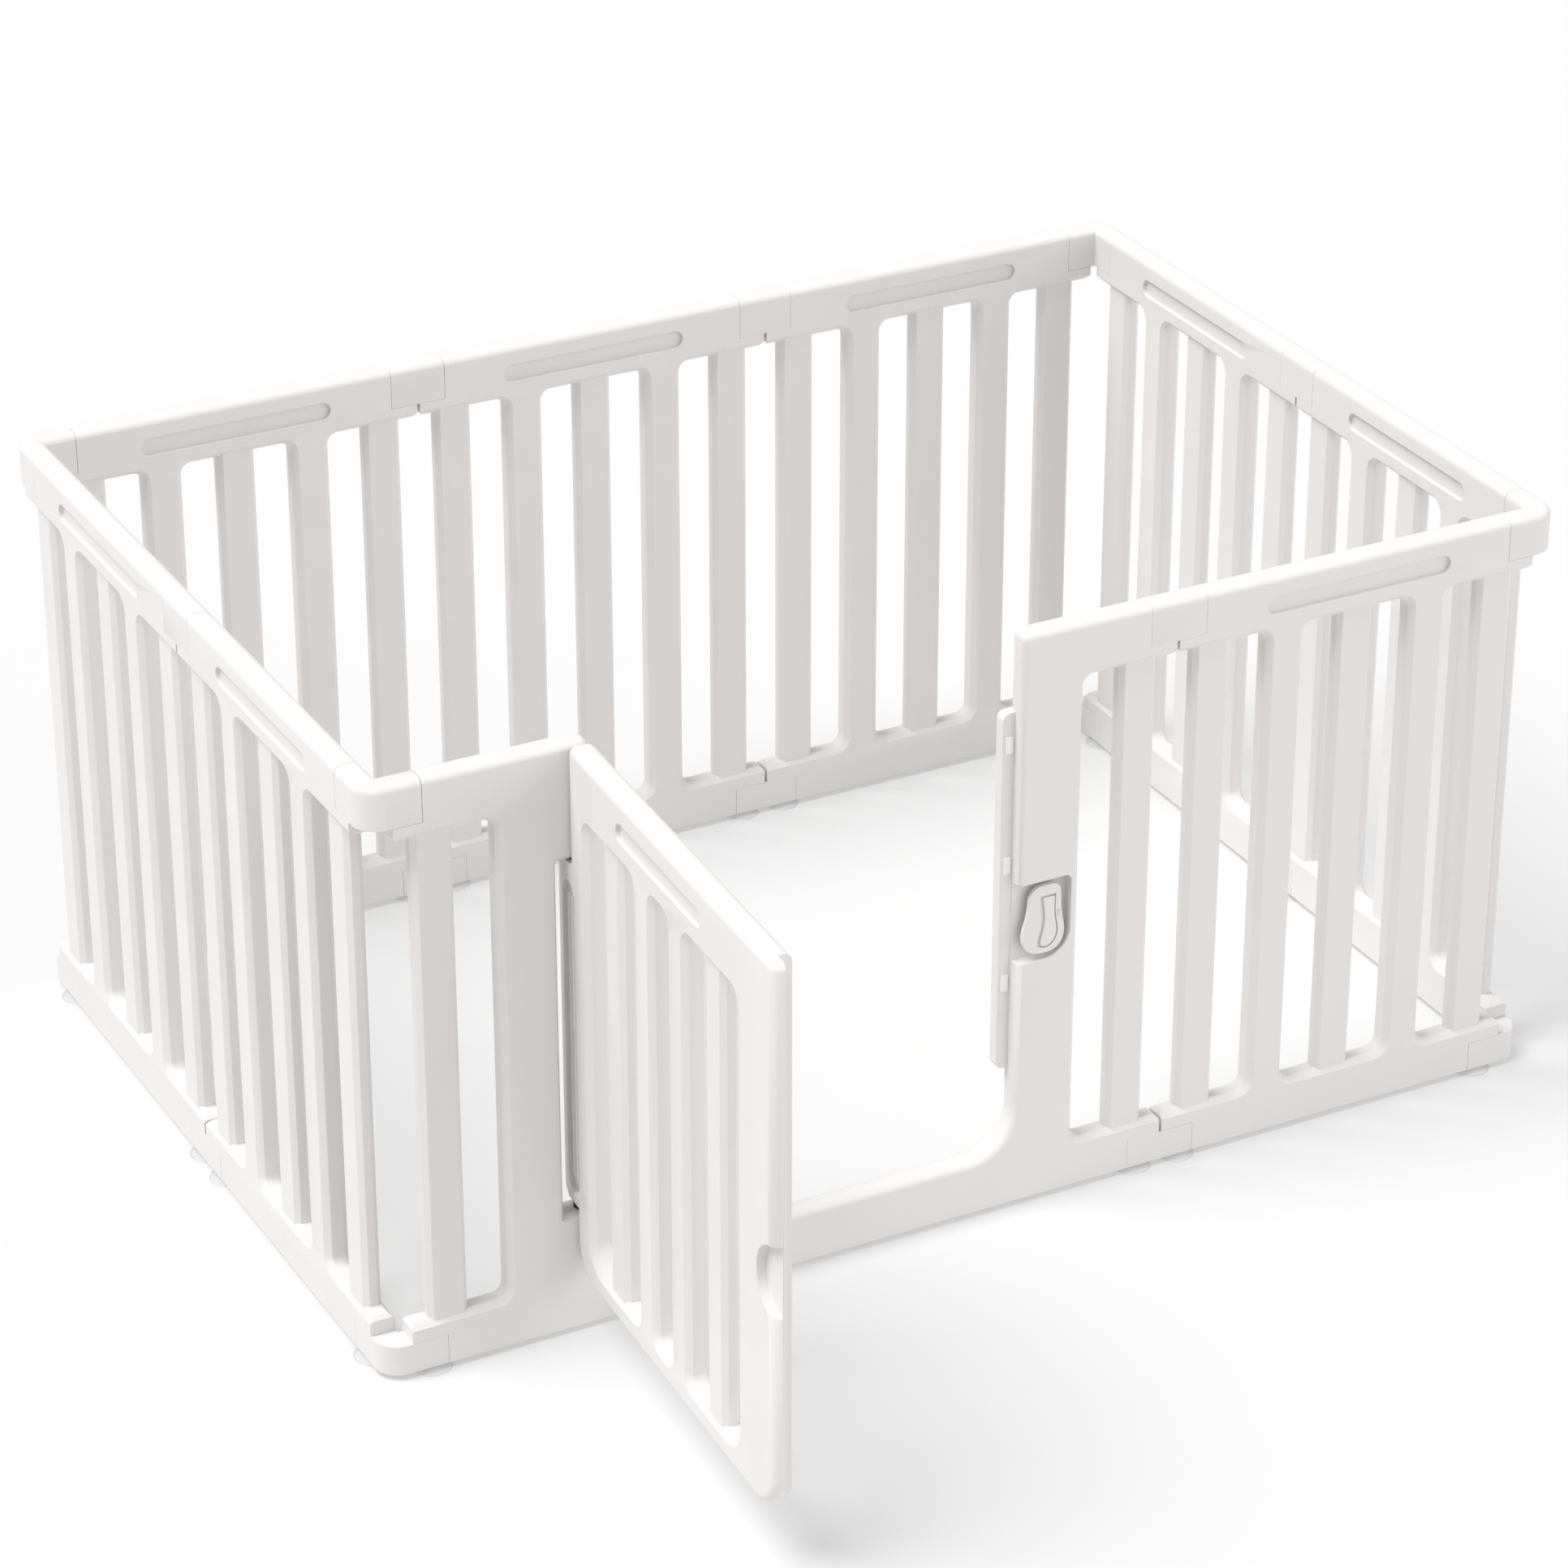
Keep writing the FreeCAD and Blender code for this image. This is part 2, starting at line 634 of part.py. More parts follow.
def door_rebate(owner):
    """Cut the inner layer back along the closing edge so that it clears the stop strip."""
    made = new_sketch(owner, "XZ_Plane", "-dims.rail_thick / 2")
    add_loop(made, rectangle("dims.door_right - dims.door_step", "dims.door_foot - 5",
                             "dims.door_right + 5", "dims.pen_top + 5"))
    pocket(owner, made, "dims.rail_thick - dims.door_layer", reverse=True)


def door_pocket(owner):
    """D-shaped recess at the closing edge that the latch's lobe swings into."""
    made = new_sketch(owner, "XZ_Plane", "dims.rail_thick / 2")
    add_loop(made, rectangle("dims.door_right - dims.door_pocket_width", "dims.door_pocket_foot",
                             "dims.door_right + 5", "dims.door_pocket_head"))
    pocket(owner, made, "dims.door_pocket_depth")

    def deep_corner(edge, middle, reach):
        return along(reach, 1) and near(middle.x, "dims.door_right - dims.door_pocket_width")

    dress(owner, "Fillet", edges_where(owner.Shape, deep_corner), "dims.door_pocket_width - 1")


def hinge_tab(owner):
    """Long tab that reaches into the hinge post, with a ribbed recess and a bore at each end."""
    end = "dims.hinge_axis - dims.tab_reach"
    root = "dims.door_left + dims.door_edge_round + 1"
    made = new_sketch(owner, "XZ_Plane")
    add_loop(made, [
        (end, "dims.tab_foot + dims.tab_bevel"),
        (f"{end} + dims.tab_bevel", "dims.tab_foot"),
        (root, "dims.tab_foot"),
        (root, "dims.tab_head"),
        (end, "dims.tab_head"),
    ])
    pad(owner, made, "2 * dims.tab_half_thick", both_ways=True)

    def far_edge(edge, middle, reach):
        return along(reach, 2) and near(middle.x, end)

    dress(owner, "Fillet", edges_where(owner.Shape, far_edge), "dims.tab_round")
    tab_recess(owner)
    for level, reverse in (("dims.tab_foot", True), ("dims.tab_head", False)):
        bore = new_sketch(owner, "XY_Plane", level)
        add_circle(bore, "dims.hinge_axis", "0", "dims.hinge_pin_radius + dims.hinge_slack")
        pocket(owner, bore, "dims.tab_bore", reverse=reverse)


def tab_recess(owner):
    """Upright recess with two ribs on the outer face, across the tab and the stile's edge."""
    left, right = "dims.tab_pocket_left", "dims.tab_pocket_right"
    centre, radius = f"({left} + {right}) / 2", f"(({right} - {left}) / 2)"
    low, high = f"dims.tab_pocket_foot + {radius}", f"dims.tab_pocket_head - {radius}"
    depth = "dims.tab_pocket_depth + dims.rail_thick / 2 - dims.tab_half_thick"
    made = new_sketch(owner, "XZ_Plane", "dims.rail_thick / 2")
    add_loop(made, rectangle(left, low, right, high))
    pocket(owner, made, depth)
    for level in (low, high):
        end = new_sketch(owner, "XZ_Plane", "dims.rail_thick / 2")
        add_circle(end, centre, level, radius)
        pocket(owner, end, depth)
    ribs = new_sketch(owner, "XZ_Plane", "dims.tab_half_thick - dims.tab_pocket_depth")
    for third in (1, 2):
        middle = f"({left} + ({right} - {left}) * {third} / 3)"
        add_loop(ribs, rectangle(f"{middle} - dims.tab_rib / 2", low, f"{middle} + dims.tab_rib / 2", high))
    pad(owner, ribs, "dims.tab_rib_height")


def straight_cap(label):
    """Top connector over a straight joint: a rail-shaped block with two pegs below."""
    owner = body(label)
    reach = "(dims.cap_reach - dims.seam)"
    made = new_sketch(owner, "XZ_Plane")
    add_loop(made, rectangle(f"-{reach}", "dims.cap_base", reach, "dims.pen_top"))
    pad(owner, made, "dims.rail_thick", both_ways=True)
    round_rail_top(owner)
    pegs(owner, [("-dims.peg_inset", "0"), ("dims.peg_inset", "0")], "dims.cap_base", down=True)
    return owner


def straight_foot(label):
    """Bottom connector under a straight joint, with two pegs above and two cup sockets below."""
    owner = body(label)
    reach = "(dims.foot_reach - dims.seam)"
    made = new_sketch(owner, "XZ_Plane")
    add_loop(made, rectangle(f"-{reach}", "dims.floor_gap", reach, "dims.foot_top"))
    pad(owner, made, "dims.rail_thick", both_ways=True)
    pegs(owner, [("-dims.peg_inset", "0"), ("dims.peg_inset", "0")], "dims.foot_top", down=False)
    cup_sockets(owner, [("-dims.cup_spacing", "0"), ("dims.cup_spacing", "0")])
    return owner


def pegs(owner, spots, level, down):
    """Round pegs that plug into the panels' ends."""
    made = new_sketch(owner, "XY_Plane", level)
    for across, deep in spots:
        add_circle(made, across, deep, "dims.peg_radius")
    pad(owner, made, "dims.peg_length", reverse=down)


def cup_sockets(owner, spots):
    """Blind holes in a bottom connector's underside for the suction cups' stems."""
    made = new_sketch(owner, "XY_Plane", "dims.floor_gap")
    for across, deep in spots:
        add_circle(made, across, deep, "dims.socket_radius")
    pocket(owner, made, "dims.socket_depth", reverse=True)


def corner_connector(label, low, high, reach):
    """L-shaped connector with a rounded outer edge; the two joint lines meet at its origin."""
    owner = body(label)
    outer = "-dims.face_offset"
    inner = "(dims.rail_thick - dims.face_offset)"
    made = new_sketch(owner, "XY_Plane", low)
    add_loop(made, [
        (outer, outer), (reach, outer), (reach, inner),
        (inner, inner), (inner, reach), (outer, reach),
    ])
    pad(owner, made, f"{high} - {low}")

    def outer_edge(edge, middle, direction):
        return along(direction, 2) and near(middle.x, outer) and near(middle.y, outer)

    dress(owner, "Fillet", edges_where(owner.Shape, outer_edge), "dims.corner_round")
    return owner


def corner_cap(label):
    """Top corner connector with the rail's rounded upper edges and two pegs below."""
    reach = "(dims.cap_reach - dims.seam)"
    owner = corner_connector(label, "dims.cap_base", "dims.pen_top", reach)
    head, seam = number("dims.pen_top"), number(reach)

    def ridge(edge, middle, direction):
        on_top = abs(middle.z - head) < 0.01 and abs(direction.z) < 0.01
        return on_top and abs(middle.x - seam) > 0.1 and abs(middle.y - seam) > 0.1

    dress(owner, "Fillet", edges_where(owner.Shape, ridge), "dims.rail_round")
    pegs(owner, [("dims.peg_inset", LANE), (LANE, "dims.peg_inset")], "dims.cap_base", down=True)
    return owner


def corner_foot(label):
    """Bottom corner connector with two pegs above and two cup sockets below."""
    reach = "(dims.foot_reach - dims.seam)"
    owner = corner_connector(label, "dims.floor_gap", "dims.foot_top", reach)
    pegs(owner, [("dims.peg_inset", LANE), (LANE, "dims.peg_inset")], "dims.foot_top", down=False)
    cup_sockets(owner, [("dims.cup_spacing", LANE), (LANE, "dims.cup_spacing")])
    return owner


def cup_solid():
    """One suction cup about its own axis: thin flared skirt, neck and stem."""
    radius, height = number("dims.cup_radius"), number("dims.cup_height")
    lip, stem = number("dims.cup_lip"), number("dims.socket_radius - dims.stem_slack")
    top = height + number("dims.socket_depth") - 1
    outline = [
        FreeCAD.Vector(0, 0, 2.6),
        FreeCAD.Vector(8, 0, 2.2),
        FreeCAD.Vector(radius - lip, 0, 0),
        FreeCAD.Vector(radius, 0, 0),
        FreeCAD.Vector(radius, 0, lip * 0.6),
        FreeCAD.Vector(9, 0, 4.6),
        FreeCAD.Vector(stem, 0, height - 0.4),
        FreeCAD.Vector(stem, 0, top - 1),
        FreeCAD.Vector(stem - 1, 0, top),
        FreeCAD.Vector(0, 0, top),
    ]
    wire = Part.makePolygon(outline + outline[:1])
    return Part.Face(wire).revolve(FreeCAD.Vector(), FreeCAD.Vector(0, 0, 1), 360)


def cup_pair(label, spots):
    """Two clear suction cups for one bottom connector, drawn about its joint point."""
    made = DOCUMENT.addObject("Part::Feature", label)
    made.Label = label
    cups = []
    for across, deep in spots:
        cup = cup_solid()
        cup.translate(FreeCAD.Vector(number(across), number(deep), 0))
        cups.append(cup)
    made.Shape = Part.makeCompound(cups)
    return made


def hinge_pin(label, low, height):
    """Upright hinge pin on the hinge line."""
    made = DOCUMENT.addObject("Part::Cylinder", label)
    made.Label = label
    made.setExpression("Radius", "dims.hinge_pin_radius")
    made.setExpression("Height", height)
    return place(made, "dims.hinge_axis", "-" + MID_PLANE, "0", low)


def hinge_bush(label, seat_end, face, tip):
    """Flanged bush seated in the notch, bored for the pin; the levels run towards the tab."""
    made = revolved(label, "XZ_Plane", [
        ("dims.hinge_pin_radius", seat_end),
        ("dims.bush_radius", seat_end),
        ("dims.bush_radius", face),
        ("dims.flange_radius", face),
        ("dims.flange_radius", tip),
        ("dims.hinge_pin_radius", tip),
    ])
    return place(made, "dims.hinge_axis", "-" + MID_PLANE)


def strike_pads(label):
    """Three soft rectangular buffers on the stop strip, drawn about the door's mid plane."""
    made = DOCUMENT.addObject("Part::Feature", label)
    made.Label = label
    width, height, lift = (number(f"dims.pad_{name}") for name in ("width", "height", "lift"))
    face = number("dims.rail_thick / 2 - dims.stop_thick")
    pads = []
    for index in range(3):
        low = number("dims.pad_first") + index * number("dims.pad_pitch") - height / 2
        corner = FreeCAD.Vector(number("dims.stop_left") + 3, face - lift, low)
        pads.append(Part.makeBox(width, lift, height, corner))
    made.Shape = Part.makeCompound(pads)
    return made


def latch_plate(label):
    """Pear-shaped turning plate with a grip bar in front and a stem behind, about its pivot."""
    owner = body(label)
    made = new_sketch(owner, "XZ_Plane")
    pear_outline(made)
    pad(owner, made, "dims.latch_thick", reverse=True)
    grip = new_sketch(owner, "XZ_Plane")
    add_loop(grip, [
        ("-dims.latch_grip_foot_width / 2", "dims.latch_grip_foot"),
        ("dims.latch_grip_foot_width / 2", "dims.latch_grip_foot"),
        ("dims.latch_grip_width / 2", "dims.latch_grip_top"),
        ("-dims.latch_grip_width / 2", "dims.latch_grip_top"),
    ])
    pad(owner, grip, "dims.latch_grip_lift")

    def upright_corner(edge, middle, reach):
        return along(reach, 1) and middle.y < 0

    dress(owner, "Fillet", edges_where(owner.Shape, upright_corner), "3")
    well = new_sketch(owner, "XZ_Plane")
    half, foot_half = "dims.latch_grip_width / 2", "dims.latch_grip_foot_width / 2"
    add_loop(well, [
        (f"-{foot_half} - dims.latch_well", "dims.latch_grip_foot + 2"),
        (f"-{foot_half}", "dims.latch_grip_foot + 2"),
        (f"-{half}", "dims.latch_grip_top"),
        (f"{half} - 1", "dims.latch_grip_top"),
        (f"{half} - 1", "dims.latch_grip_top + 3"),
        (f"-{half} - dims.latch_well + 2", "dims.latch_grip_top + 3"),
    ])
    pocket(owner, well, "dims.latch_well_depth")
    stem = new_sketch(owner, "XZ_Plane", "-dims.latch_thick")
    add_circle(stem, "0", "0", "dims.latch_stem_radius")
    pad(owner, stem, f"{STEM_END} - dims.latch_thick", reverse=True)
    bore = new_sketch(owner, "XZ_Plane", f"-{STEM_END}")
    add_circle(bore, "0", "0", "dims.screw_radius + 0.05")
    pocket(owner, bore, "dims.screw_grip + 0.5", reverse=True)
    return owner


def pear_outline(made):
    """Two arcs joined by straight tangents: the small head above the pivot, the lobe below."""
    import Sketcher
    head_radius, lobe_radius = number("dims.latch_head_radius"), number("dims.latch_lobe_radius")
    head_lift, lobe_drop = number("dims.latch_head_lift"), number("dims.latch_lobe_drop")
    tilt = math.asin((lobe_radius - head_radius) / (head_lift + lobe_drop))
    axis = FreeCAD.Vector(0, 0, 1)
    head = Part.Circle(FreeCAD.Vector(0, head_lift, 0), axis, head_radius)
    lobe = Part.Circle(FreeCAD.Vector(0, -lobe_drop, 0), axis, lobe_radius)
    made.addGeometry(Part.ArcOfCircle(head, tilt, math.pi - tilt), False)
    made.addGeometry(Part.ArcOfCircle(lobe, math.pi - tilt, 2 * math.pi + tilt), False)
    arcs = made.Geometry
    made.addGeometry(Part.LineSegment(arcs[0].EndPoint, arcs[1].StartPoint), False)
    made.addGeometry(Part.LineSegment(arcs[1].EndPoint, arcs[0].StartPoint), False)
    for arc, end, line, start in ((0, 2, 2, 1), (1, 1, 2, 2), (1, 2, 3, 1), (0, 1, 3, 2)):
        made.addConstraint(Sketcher.Constraint("Tangent", arc, end, line, start))
    bind_point(made, 0, 3, ("0", "dims.latch_head_lift"))
    bind_point(made, 1, 3, ("0", "-dims.latch_lobe_drop"))
    for index, radius in ((0, "dims.latch_head_radius"), (1, "dims.latch_lobe_radius")):
        limit = made.addConstraint(Sketcher.Constraint("Radius", index, number(radius)))
        made.setExpression(f"Constraints[{limit}]", radius)


def revolved(label, plane, corners):
    """Body turned about the sketch plane's upright axis; corners are (radius, distance along it)."""
    owner = body(label)
    made = new_sketch(owner, plane)
    add_loop(made, corners)
    feature = owner.newObject("PartDesign::Revolution", label + "_turn")
    feature.Profile = made
    feature.ReferenceAxis = (made, ["V_Axis"])
    feature.Angle = 360
    DOCUMENT.recompute()
    return owner


def latch_washer(label):
    """Washer that holds the latch's stem in the post."""
    back = f"{STEM_END} + dims.washer_thick"
    corners = rectangle("dims.screw_radius + 0.2", STEM_END, "dims.washer_radius", back)
    return revolved(label, "XY_Plane", corners)


def latch_screw(label):
    """Pan-head screw through the washer into the stem."""
    seat = f"{STEM_END} + dims.washer_thick"
    return revolved(label, "XY_Plane", [
        ("0", f"{STEM_END} - dims.screw_grip"),
        ("dims.screw_radius", f"{STEM_END} - dims.screw_grip"),
        ("dims.screw_radius", seat),
        ("dims.screw_head_radius", seat),
        ("dims.screw_head_radius", f"{seat} + dims.screw_head_thick - 1"),
        ("dims.screw_head_radius - 1", f"{seat} + dims.screw_head_thick"),
        ("0", f"{seat} + dims.screw_head_thick"),
    ])


def build_panels():
    """The eight standard panels round the pen."""
    nodes = []
    back_row = (("back_panel_left", "-1.5"), ("back_panel_middle", "-0.5"), ("back_panel_right", "0.5"))
    for label, pitches in back_row:
        nodes.append(place(standard_panel(label), f"{pitches} * dims.panel_pitch", MID_PLANE))
    nodes.append(place(standard_panel("front_panel"), "0.5 * dims.panel_pitch", "-" + MID_PLANE))
    for side, east in (("left", "-" + SIDE_PLANE), ("right", SIDE_PLANE)):
        for end, north in (("front", "-dims.panel_pitch"), ("back", "0")):
            nodes.append(place(standard_panel(f"{side}_panel_{end}"), east, north, "90"))
    return nodes


def build_connectors():
    """Top and bottom connectors at the five straight joints and the four corners, and their cups."""
    nodes = []
    half_pitch = "dims.panel_pitch / 2"
    straight = {
        "back_left": (f"-{half_pitch}", MID_PLANE, "0"),
        "back_right": (half_pitch, MID_PLANE, "0"),
        "front": (half_pitch, "-" + MID_PLANE, "0"),
        "left": ("-" + SIDE_PLANE, "0", "90"),
        "right": (SIDE_PLANE, "0", "90"),
    }
    corners = {
        "front_left": ("-1.5 * dims.panel_pitch", "-dims.panel_pitch", "0"),
        "front_right": ("1.5 * dims.panel_pitch", "-dims.panel_pitch", "90"),
        "back_right": ("1.5 * dims.panel_pitch", "dims.panel_pitch", "180"),
        "back_left": ("-1.5 * dims.panel_pitch", "dims.panel_pitch", "270"),
    }
    straight_cups = [("-dims.cup_spacing", "0"), ("dims.cup_spacing", "0")]
    corner_cups = [("dims.cup_spacing", LANE), (LANE, "dims.cup_spacing")]
    for name, spot in straight.items():
        nodes.append(place(straight_cap(f"joint_cap_{name}"), *spot))
        nodes.append(place(straight_foot(f"joint_foot_{name}"), *spot))
        nodes.append(place(cup_pair(f"joint_cups_{name}", straight_cups), *spot))
    for name, spot in corners.items():
        nodes.append(place(corner_cap(f"corner_cap_{name}"), *spot))
        nodes.append(place(corner_foot(f"corner_foot_{name}"), *spot))
        nodes.append(place(cup_pair(f"corner_cups_{name}", corner_cups), *spot))
    return nodes


def build_doorway():
    """Door frame, door, hinge fittings, buffers and the turning latch."""
    front = "-" + MID_PLANE
    nodes = [place(door_frame("door_frame"), "0", front), hang_on_hinge(door("door"))]
    low_seat, high_seat = "dims.notch_foot - dims.bush_seat", "dims.notch_head + dims.bush_seat"
    low_tip, high_tip = "dims.tab_foot - dims.bush_gap", "dims.tab_head + dims.bush_gap"
    nodes.append(hinge_bush("hinge_bush_bottom", low_seat, "dims.notch_foot", low_tip))
    nodes.append(hinge_bush("hinge_bush_top", high_seat, "dims.notch_head", high_tip))
    buried = "dims.bush_seat + dims.tab_bore - 1"
    low_pin = f"(dims.tab_foot - dims.notch_foot + {buried})"
    high_pin = f"(dims.notch_head - dims.tab_head + {buried})"
    nodes.append(hinge_pin("hinge_pin_bottom", low_seat, low_pin))
    nodes.append(hinge_pin("hinge_pin_top", f"{high_seat} - {high_pin}", high_pin))
    nodes.append(place(strike_pads("strike_pads"), "0", front))
    pivot = ("dims.latch_axis_x", "dims.latch_face - " + OUTER_FACE, "0", "dims.latch_axis_z")
    for make in (latch_plate, latch_washer, latch_screw):
        nodes.append(place(make(make.__name__), *pivot))
    return nodes


def check_document():
    """Stop the build when any object failed to recompute."""
    DOCUMENT.recompute()
    for item in DOCUMENT.Objects:
        if "Invalid" in item.State or "Error" in item.State:
            raise RuntimeError(f"{item.Label}: {item.State}")


def export(nodes):
    """Check every sub-part's shape and write its file."""
    os.makedirs("parts", exist_ok=True)
    for node in nodes:
        shape = node.Shape
        if shape.isNull() or not shape.isValid():
            raise RuntimeError(node.Label + ": bad shape")
        shape.exportStep(f"parts/{node.Label}.step")
        box = shape.BoundBox
        corners = [round(value, 1) for value in (box.XMin, box.XMax, box.YMin, box.YMax, box.ZMin, box.ZMax)]
        print(node.Label, len(shape.Solids), corners, round(shape.Volume / 1000, 1))


ALL_NODES = build_panels() + build_connectors() + build_doorway()
check_document()
export(ALL_NODES)
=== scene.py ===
"""Looks of a modular white plastic pet playpen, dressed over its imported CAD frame.

The mouldings keep the CAD's form and gain the small edge radius that a mould leaves. The suction
cups, the latch plate and the strike pads are modelled here. Lengths are in metres.
"""

import logging
import math
from dataclasses import dataclass, field
from enum import Enum

import bpy
from mathutils import Matrix, Vector


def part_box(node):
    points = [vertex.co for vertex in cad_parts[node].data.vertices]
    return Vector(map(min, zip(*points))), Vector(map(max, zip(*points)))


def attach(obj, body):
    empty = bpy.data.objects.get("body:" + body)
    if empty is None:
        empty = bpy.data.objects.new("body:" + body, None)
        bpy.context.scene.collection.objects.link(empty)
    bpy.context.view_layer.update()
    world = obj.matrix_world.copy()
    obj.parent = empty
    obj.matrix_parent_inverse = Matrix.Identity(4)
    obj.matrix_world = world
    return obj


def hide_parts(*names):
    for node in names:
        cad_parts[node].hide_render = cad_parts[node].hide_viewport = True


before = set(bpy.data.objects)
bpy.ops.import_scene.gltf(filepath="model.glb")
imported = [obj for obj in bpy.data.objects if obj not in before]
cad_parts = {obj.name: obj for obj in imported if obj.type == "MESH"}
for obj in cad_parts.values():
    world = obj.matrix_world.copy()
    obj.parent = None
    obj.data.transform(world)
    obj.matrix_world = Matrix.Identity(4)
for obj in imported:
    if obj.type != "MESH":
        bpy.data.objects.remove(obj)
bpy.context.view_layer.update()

Outline = list[tuple[float, float]]

LOG = logging.getLogger("playpen")
MM = 0.001
PEN_MIDDLE_Y = 0.21393  # the pen's own middle lies this far behind the origin
PITCH = 0.4  # joint to joint along one panel
MID_PLANE = 0.0155  # rail mid plane beyond the line through the joints
SHARP = math.radians(28)  # edges that turn more than this are rounded, the rest is shaded smooth
FLAT = math.radians(0.4)  # triangles that turn less than this are one flat face
MERGE = 2e-6  # vertices nearer than this are one
NOISE_LOW, NOISE_HIGH = 0.3, 0.7  # nearly all of a noise pattern lies between these


class Body(Enum):
    """Rigid bodies of the CAD frame."""

    PEN = "pen"
    DOOR = "door"
    LATCH = "latch"


class Slot(Enum):
    """Material slots of the record."""

    WHITE = "white_plastic"
    CUP = "clear_cup"
    BLACK = "black_nylon"
    BUFFER = "buffer"
    STEEL = "steel"


def linear(code: str) -> tuple[float, float, float, float]:
    """Turn an sRGB hex colour into linear RGBA.

    Args:
        code: colour as "#RRGGBB".

    Returns:
        Linear red, green and blue, and an alpha of 1.
    """
    parts = [int(code[start:start + 2], 16) / 255 for start in (1, 3, 5)]
    values = [part / 12.92 if part <= 0.04045 else ((part + 0.055) / 1.055) ** 2.4
              for part in parts]
    return (values[0], values[1], values[2], 1.0)


def add_node(tree: bpy.types.NodeTree, kind: str, settings: dict | None = None,
             inputs: dict | None = None) -> bpy.types.Node:
    """Add one shader node with its settings, values and links.

    Args:
        tree: node tree that takes the node.
        kind: Blender's type name of the node.
        settings: attribute names and their values.
        inputs: socket names or numbers, each with a value or an output socket to link.

    Returns:
        The new node.
    """
    node = tree.nodes.new(kind)
    for name, value in (settings or {}).items():
        setattr(node, name, value)
    for name, value in (inputs or {}).items():
        if isinstance(value, bpy.types.NodeSocket):
            tree.links.new(value, node.inputs[name])
        else:
            node.inputs[name].default_value = value
    return node


def new_material(name: str) -> tuple[bpy.types.Material, bpy.types.NodeTree]:
    """Make an empty node material.

    Args:
        name: material name.

    Returns:
        The material and its node tree.
    """
    material = bpy.data.materials.new(name)
    material.use_nodes = True
    material.node_tree.nodes.clear()
    return material, material.node_tree


@dataclass(frozen=True)
class MouldedPolypropylene:
    """Polypropylene, injection moulded in a spark-eroded tool.

    It is a milky white with a soft satin sheen, and its thick rails sink a little as they cool,
    so that highlights on the long faces waver slightly.
    """

    name: str = "polypropylene_white_satin"
    colour: str = "#E4E1DF"
    flow_colour: str = "#E0DDDB"
    ior: float = 1.49
    roughness: float = 0.42
    gloss_patch: float = 0.05  # how far the roughness strays from that
    grain_mm: float = 0.8  # the real grit is 0.1 mm, drawn coarser so that it shows
    grain_depth_mm: float = 0.01
    sink_mm: float = 70.0  # from one shallow sink to the next
    sink_depth_mm: float = 0.12

    def build(self) -> bpy.types.Material:
        """Build the node material."""
        material, tree = new_material(self.name)
        place = add_node(tree, "ShaderNodeTexCoord").outputs["Object"]
        flow = add_node(tree, "ShaderNodeTexNoise", {"noise_dimensions": "3D"}, {
            "Vector": place, "Scale": 1 / (self.sink_mm * MM), "Detail": 2.0, "Roughness": 0.4})
        grain = add_node(tree, "ShaderNodeTexNoise", {"noise_dimensions": "3D"}, {
            "Vector": place, "Scale": 1 / (self.grain_mm * MM), "Detail": 3.0, "Roughness": 0.6})
        tint = add_node(tree, "ShaderNodeMix", {"data_type": "RGBA"}, {
            0: flow.outputs["Fac"], 6: linear(self.colour), 7: linear(self.flow_colour)})
        satin = add_node(tree, "ShaderNodeMapRange", None, {
            "Value": flow.outputs["Fac"], "From Min": NOISE_LOW, "From Max": NOISE_HIGH,
            "To Min": self.roughness - self.gloss_patch,
            "To Max": self.roughness + self.gloss_patch})
        sinks = add_node(tree, "ShaderNodeBump", None, {
            "Strength": 0.6, "Distance": self.sink_depth_mm * MM, "Height": flow.outputs["Fac"]})
        grit = add_node(tree, "ShaderNodeBump", None, {
            "Strength": 0.5, "Distance": self.grain_depth_mm * MM, "Height": grain.outputs["Fac"],
            "Normal": sinks.outputs["Normal"]})
        shader = add_node(tree, "ShaderNodeBsdfPrincipled", None, {
            "Base Color": tint.outputs[2], "Roughness": satin.outputs["Result"],
            "IOR": self.ior, "Normal": grit.outputs["Normal"]})
        add_node(tree, "ShaderNodeOutputMaterial", None, {"Surface": shader.outputs["BSDF"]})
        return material


